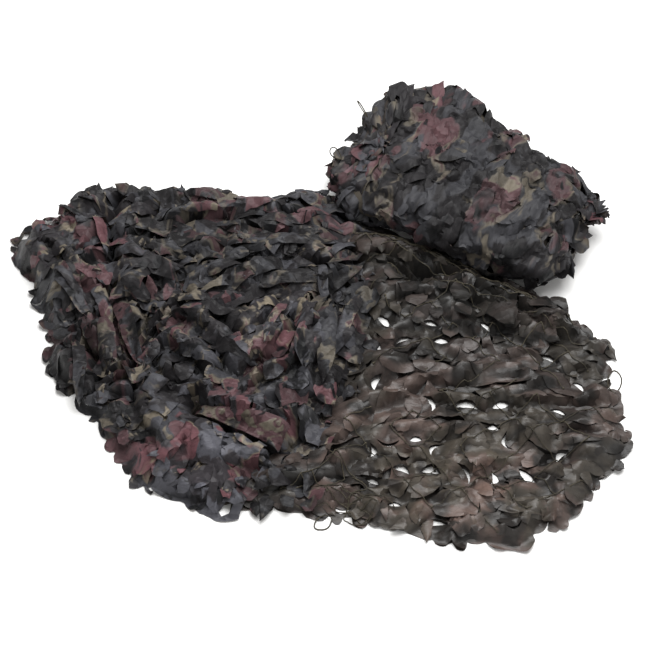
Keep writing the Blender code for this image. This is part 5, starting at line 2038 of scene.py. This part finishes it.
# cords drawn together in front of the roll, and slack ends at the front: each row lists x, y places
gatheredCords = [
    [(52, 205), (90, 182), (150, 165), (215, 132), (290, 98), (370, 52), (462, 12)],
    [(48, 190), (105, 150), (165, 150), (235, 118), (300, 68), (395, 38), (455, -5)],
    [(60, 160), (120, 172), (195, 138), (250, 92), (330, 72), (410, 15), (470, -10)],
    [(85, 120), (140, 140), (210, 100), (285, 80), (350, 30), (430, 20), (490, -30)],
    [(95, 200), (135, 160), (200, 150), (280, 105), (345, 60), (440, 5)],
    [(90, 60), (130, 100), (200, 80), (270, 50), (340, 15), (420, -30), (480, -70)],
    [(30, -395), (62, -402), (85, -425), (60, -440), (35, -425), (50, -398), (100, -390)],
    [(50, -380), (40, -410), (72, -432), (98, -408), (70, -388), (30, -372)],
    [(-60, -390), (-40, -408), (0, -402), (40, -412), (80, -405)],
    [(12, -300), (40, -345), (10, -372), (46, -392), (78, -372), (52, -350)],
    [(-40, -345), (-10, -375), (30, -365), (66, -394), (104, -380), (126, -402)],
    [(-90, -350), (-60, -372), (-20, -358), (24, -388), (56, -420), (88, -400)],
]


def latticeCords(setup):
    # the net's meshes as plan lines, one for each side of a mesh, and the knots between them
    cos = math.cos(math.radians(setup["turn"]))
    sin = math.sin(math.radians(setup["turn"]))

    def knot(i, j):
        x = setup["middle"][0] + setup["pitch"] * (i * cos - j * sin)
        y = setup["middle"][1] + setup["flatten"] * setup["pitch"] * (i * sin + j * cos)
        x += setup["slack"] * 1.6 * ripple(x, y, 0.04, 11)
        y += setup["slack"] * 1.6 * ripple(x, y, 0.04, 12)
        return x + planShift.x, y + planShift.y

    chance = random.Random(17)
    lines = []
    knots = {}
    around = range(-setup["reach"], setup["reach"] + 1)
    for i in around:
        for j in around:
            for di, dj in ((1, 0), (0, 1)):
                if chance.random() < setup["hiddenSides"]:
                    continue
                start = knot(i, j)
                end = knot(i + di, j + dj)
                if insideArea(*start, netArea) and insideArea(*end, netArea):
                    lines.append([start, end])
                    knots[start] = True
                    knots[end] = True
    return lines, list(knots)


def wanderingLine(places, setup, seed):
    # points along the line that stray from side to side, but not at its ends
    spans = [math.hypot(bx - ax, by - ay) for (ax, ay), (bx, by) in zip(places, places[1:])]
    total = sum(spans)
    count = max(3, round(total / setup["pointStep"]))
    points = []
    for k in range(count + 1):
        left = total * k / count
        for (ax, ay), (bx, by), span in zip(places, places[1:], spans):
            if left <= span + 1e-9:
                break
            left -= span
        share = min(left / span, 1.0)
        x = ax + (bx - ax) * share
        y = ay + (by - ay) * share
        free = ease(min(k, count - k) / 2)
        x += setup["wander"] * 2 * free * noise.noise(Vector((x, y, seed)) / setup["wanderSize"])
        y += setup["wander"] * 2 * free * noise.noise(Vector((y, x, seed + 7.0)) / setup["wanderSize"])
        points.append((x, y))
    return points


def cordObject(name, lines, radius, material):
    # round cords along these lines, as one mesh
    data = bpy.data.curves.new(name, "CURVE")
    data.dimensions = "3D"
    data.bevel_depth = radius
    data.bevel_resolution = 1
    data.resolution_u = 2
    data.use_fill_caps = True
    for line in lines:
        spline = data.splines.new("POLY")
        spline.points.add(len(line) - 1)
        for point, place in zip(spline.points, line):
            point.co = (*place, 1.0)
    curve = linkObject(bpy.data.objects.new(name + "Curve", data))
    mesh = bpy.data.meshes.new_from_object(curve.evaluated_get(bpy.context.evaluated_depsgraph_get()))
    mesh.name = name
    mesh.materials.clear()
    mesh.materials.append(material)
    mesh.shade_smooth()
    bpy.data.objects.remove(curve)
    return linkObject(bpy.data.objects.new(name, mesh))


def makeNet(setup, cloths):
    graph = bpy.context.evaluated_depsgraph_get()
    trees = [BVHTree.FromObject(cloth, graph) for cloth in cloths]
    spread = 0.003

    def topAt(x, y):
        found = [innerGap]
        for dx, dy in ((0, 0), (spread, 0), (-spread, 0), (0, spread), (0, -spread)):
            for tree in trees:
                hit = tree.ray_cast(Vector((x + dx, y + dy, 0.075)), Vector((0, 0, -1)))[0]
                if hit:
                    found.append(hit.z)
        return max(found)

    plans, knots = latticeCords(setup)
    plans += [shifted(metres(row)) for row in gatheredCords]
    lines = []
    for number, plan in enumerate(plans):
        points = wanderingLine(plan, setup, number * 3.7)
        heights = [topAt(x, y) for x, y in points]
        last = len(points) - 1
        line = []
        for k, (x, y) in enumerate(points):
            beside = (heights[max(k - 1, 0)] + heights[min(k + 1, last)]) / 2
            height = heights[k] if k in (0, last) else max(0.6 * heights[k] + 0.4 * beside, heights[k])
            line.append((x, y, height + setup["radius"] * 1.2))
        lines.append(line)
    net = cordObject("netCords", lines, setup["radius"], netCord)
    bm = bmesh.new()
    for x, y in knots:
        place = Vector((x, y, topAt(x, y) + setup["radius"]))
        bmesh.ops.create_icosphere(bm, subdivisions=1, radius=setup["knotRadius"],
                                   matrix=Matrix.Translation(place) @ Matrix.Diagonal((1.2, 0.9, 0.8, 1.0)))
    return net, meshObject("netKnots", bm, netCord)


netCords, netKnots = makeNet(netSetup, [laidCloth, laidInner])
print("the net's cords are laid")


# ---- remove the leaf shapes, put the pieces on the root body, hide the CAD parts they stand for and give the loops the cord material

for collection in (leafSet, flatLeafSet, stripSet):
    for thing in list(collection.objects):
        bpy.data.objects.remove(thing)
    bpy.data.collections.remove(collection)

for piece, slotName in ((heapCloth, "garnish_cloth"), (heapInner, "garnish_cloth"),
                        (laidCloth, "garnish_cloth"), (laidInner, "garnish_cloth"),
                        (rollCloth, "rolled_garnish"), (rollInner, "rolled_garnish"),
                        (heapLeaves, "garnish_cloth"), (heapStrips, "garnish_cloth"),
                        (heapHem, "garnish_cloth"), (laidLeaves, "garnish_cloth"),
                        (pleatLeaves, "garnish_cloth"), (cornerLeaves, "garnish_cloth"),
                        (rollLeaves, "rolled_garnish"), (rollStrips, "rolled_garnish")):
    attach(piece, "root")
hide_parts("laid_cloth")
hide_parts("laid_cloth")
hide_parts("rolled_cloth")
for piece in (netCords, netKnots):
    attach(piece, "root")
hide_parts("carrier_net")
for name, node in cadNodes.items():
    if "loop" in name:
        node.data.materials.clear()
        node.data.materials.append(netCord)
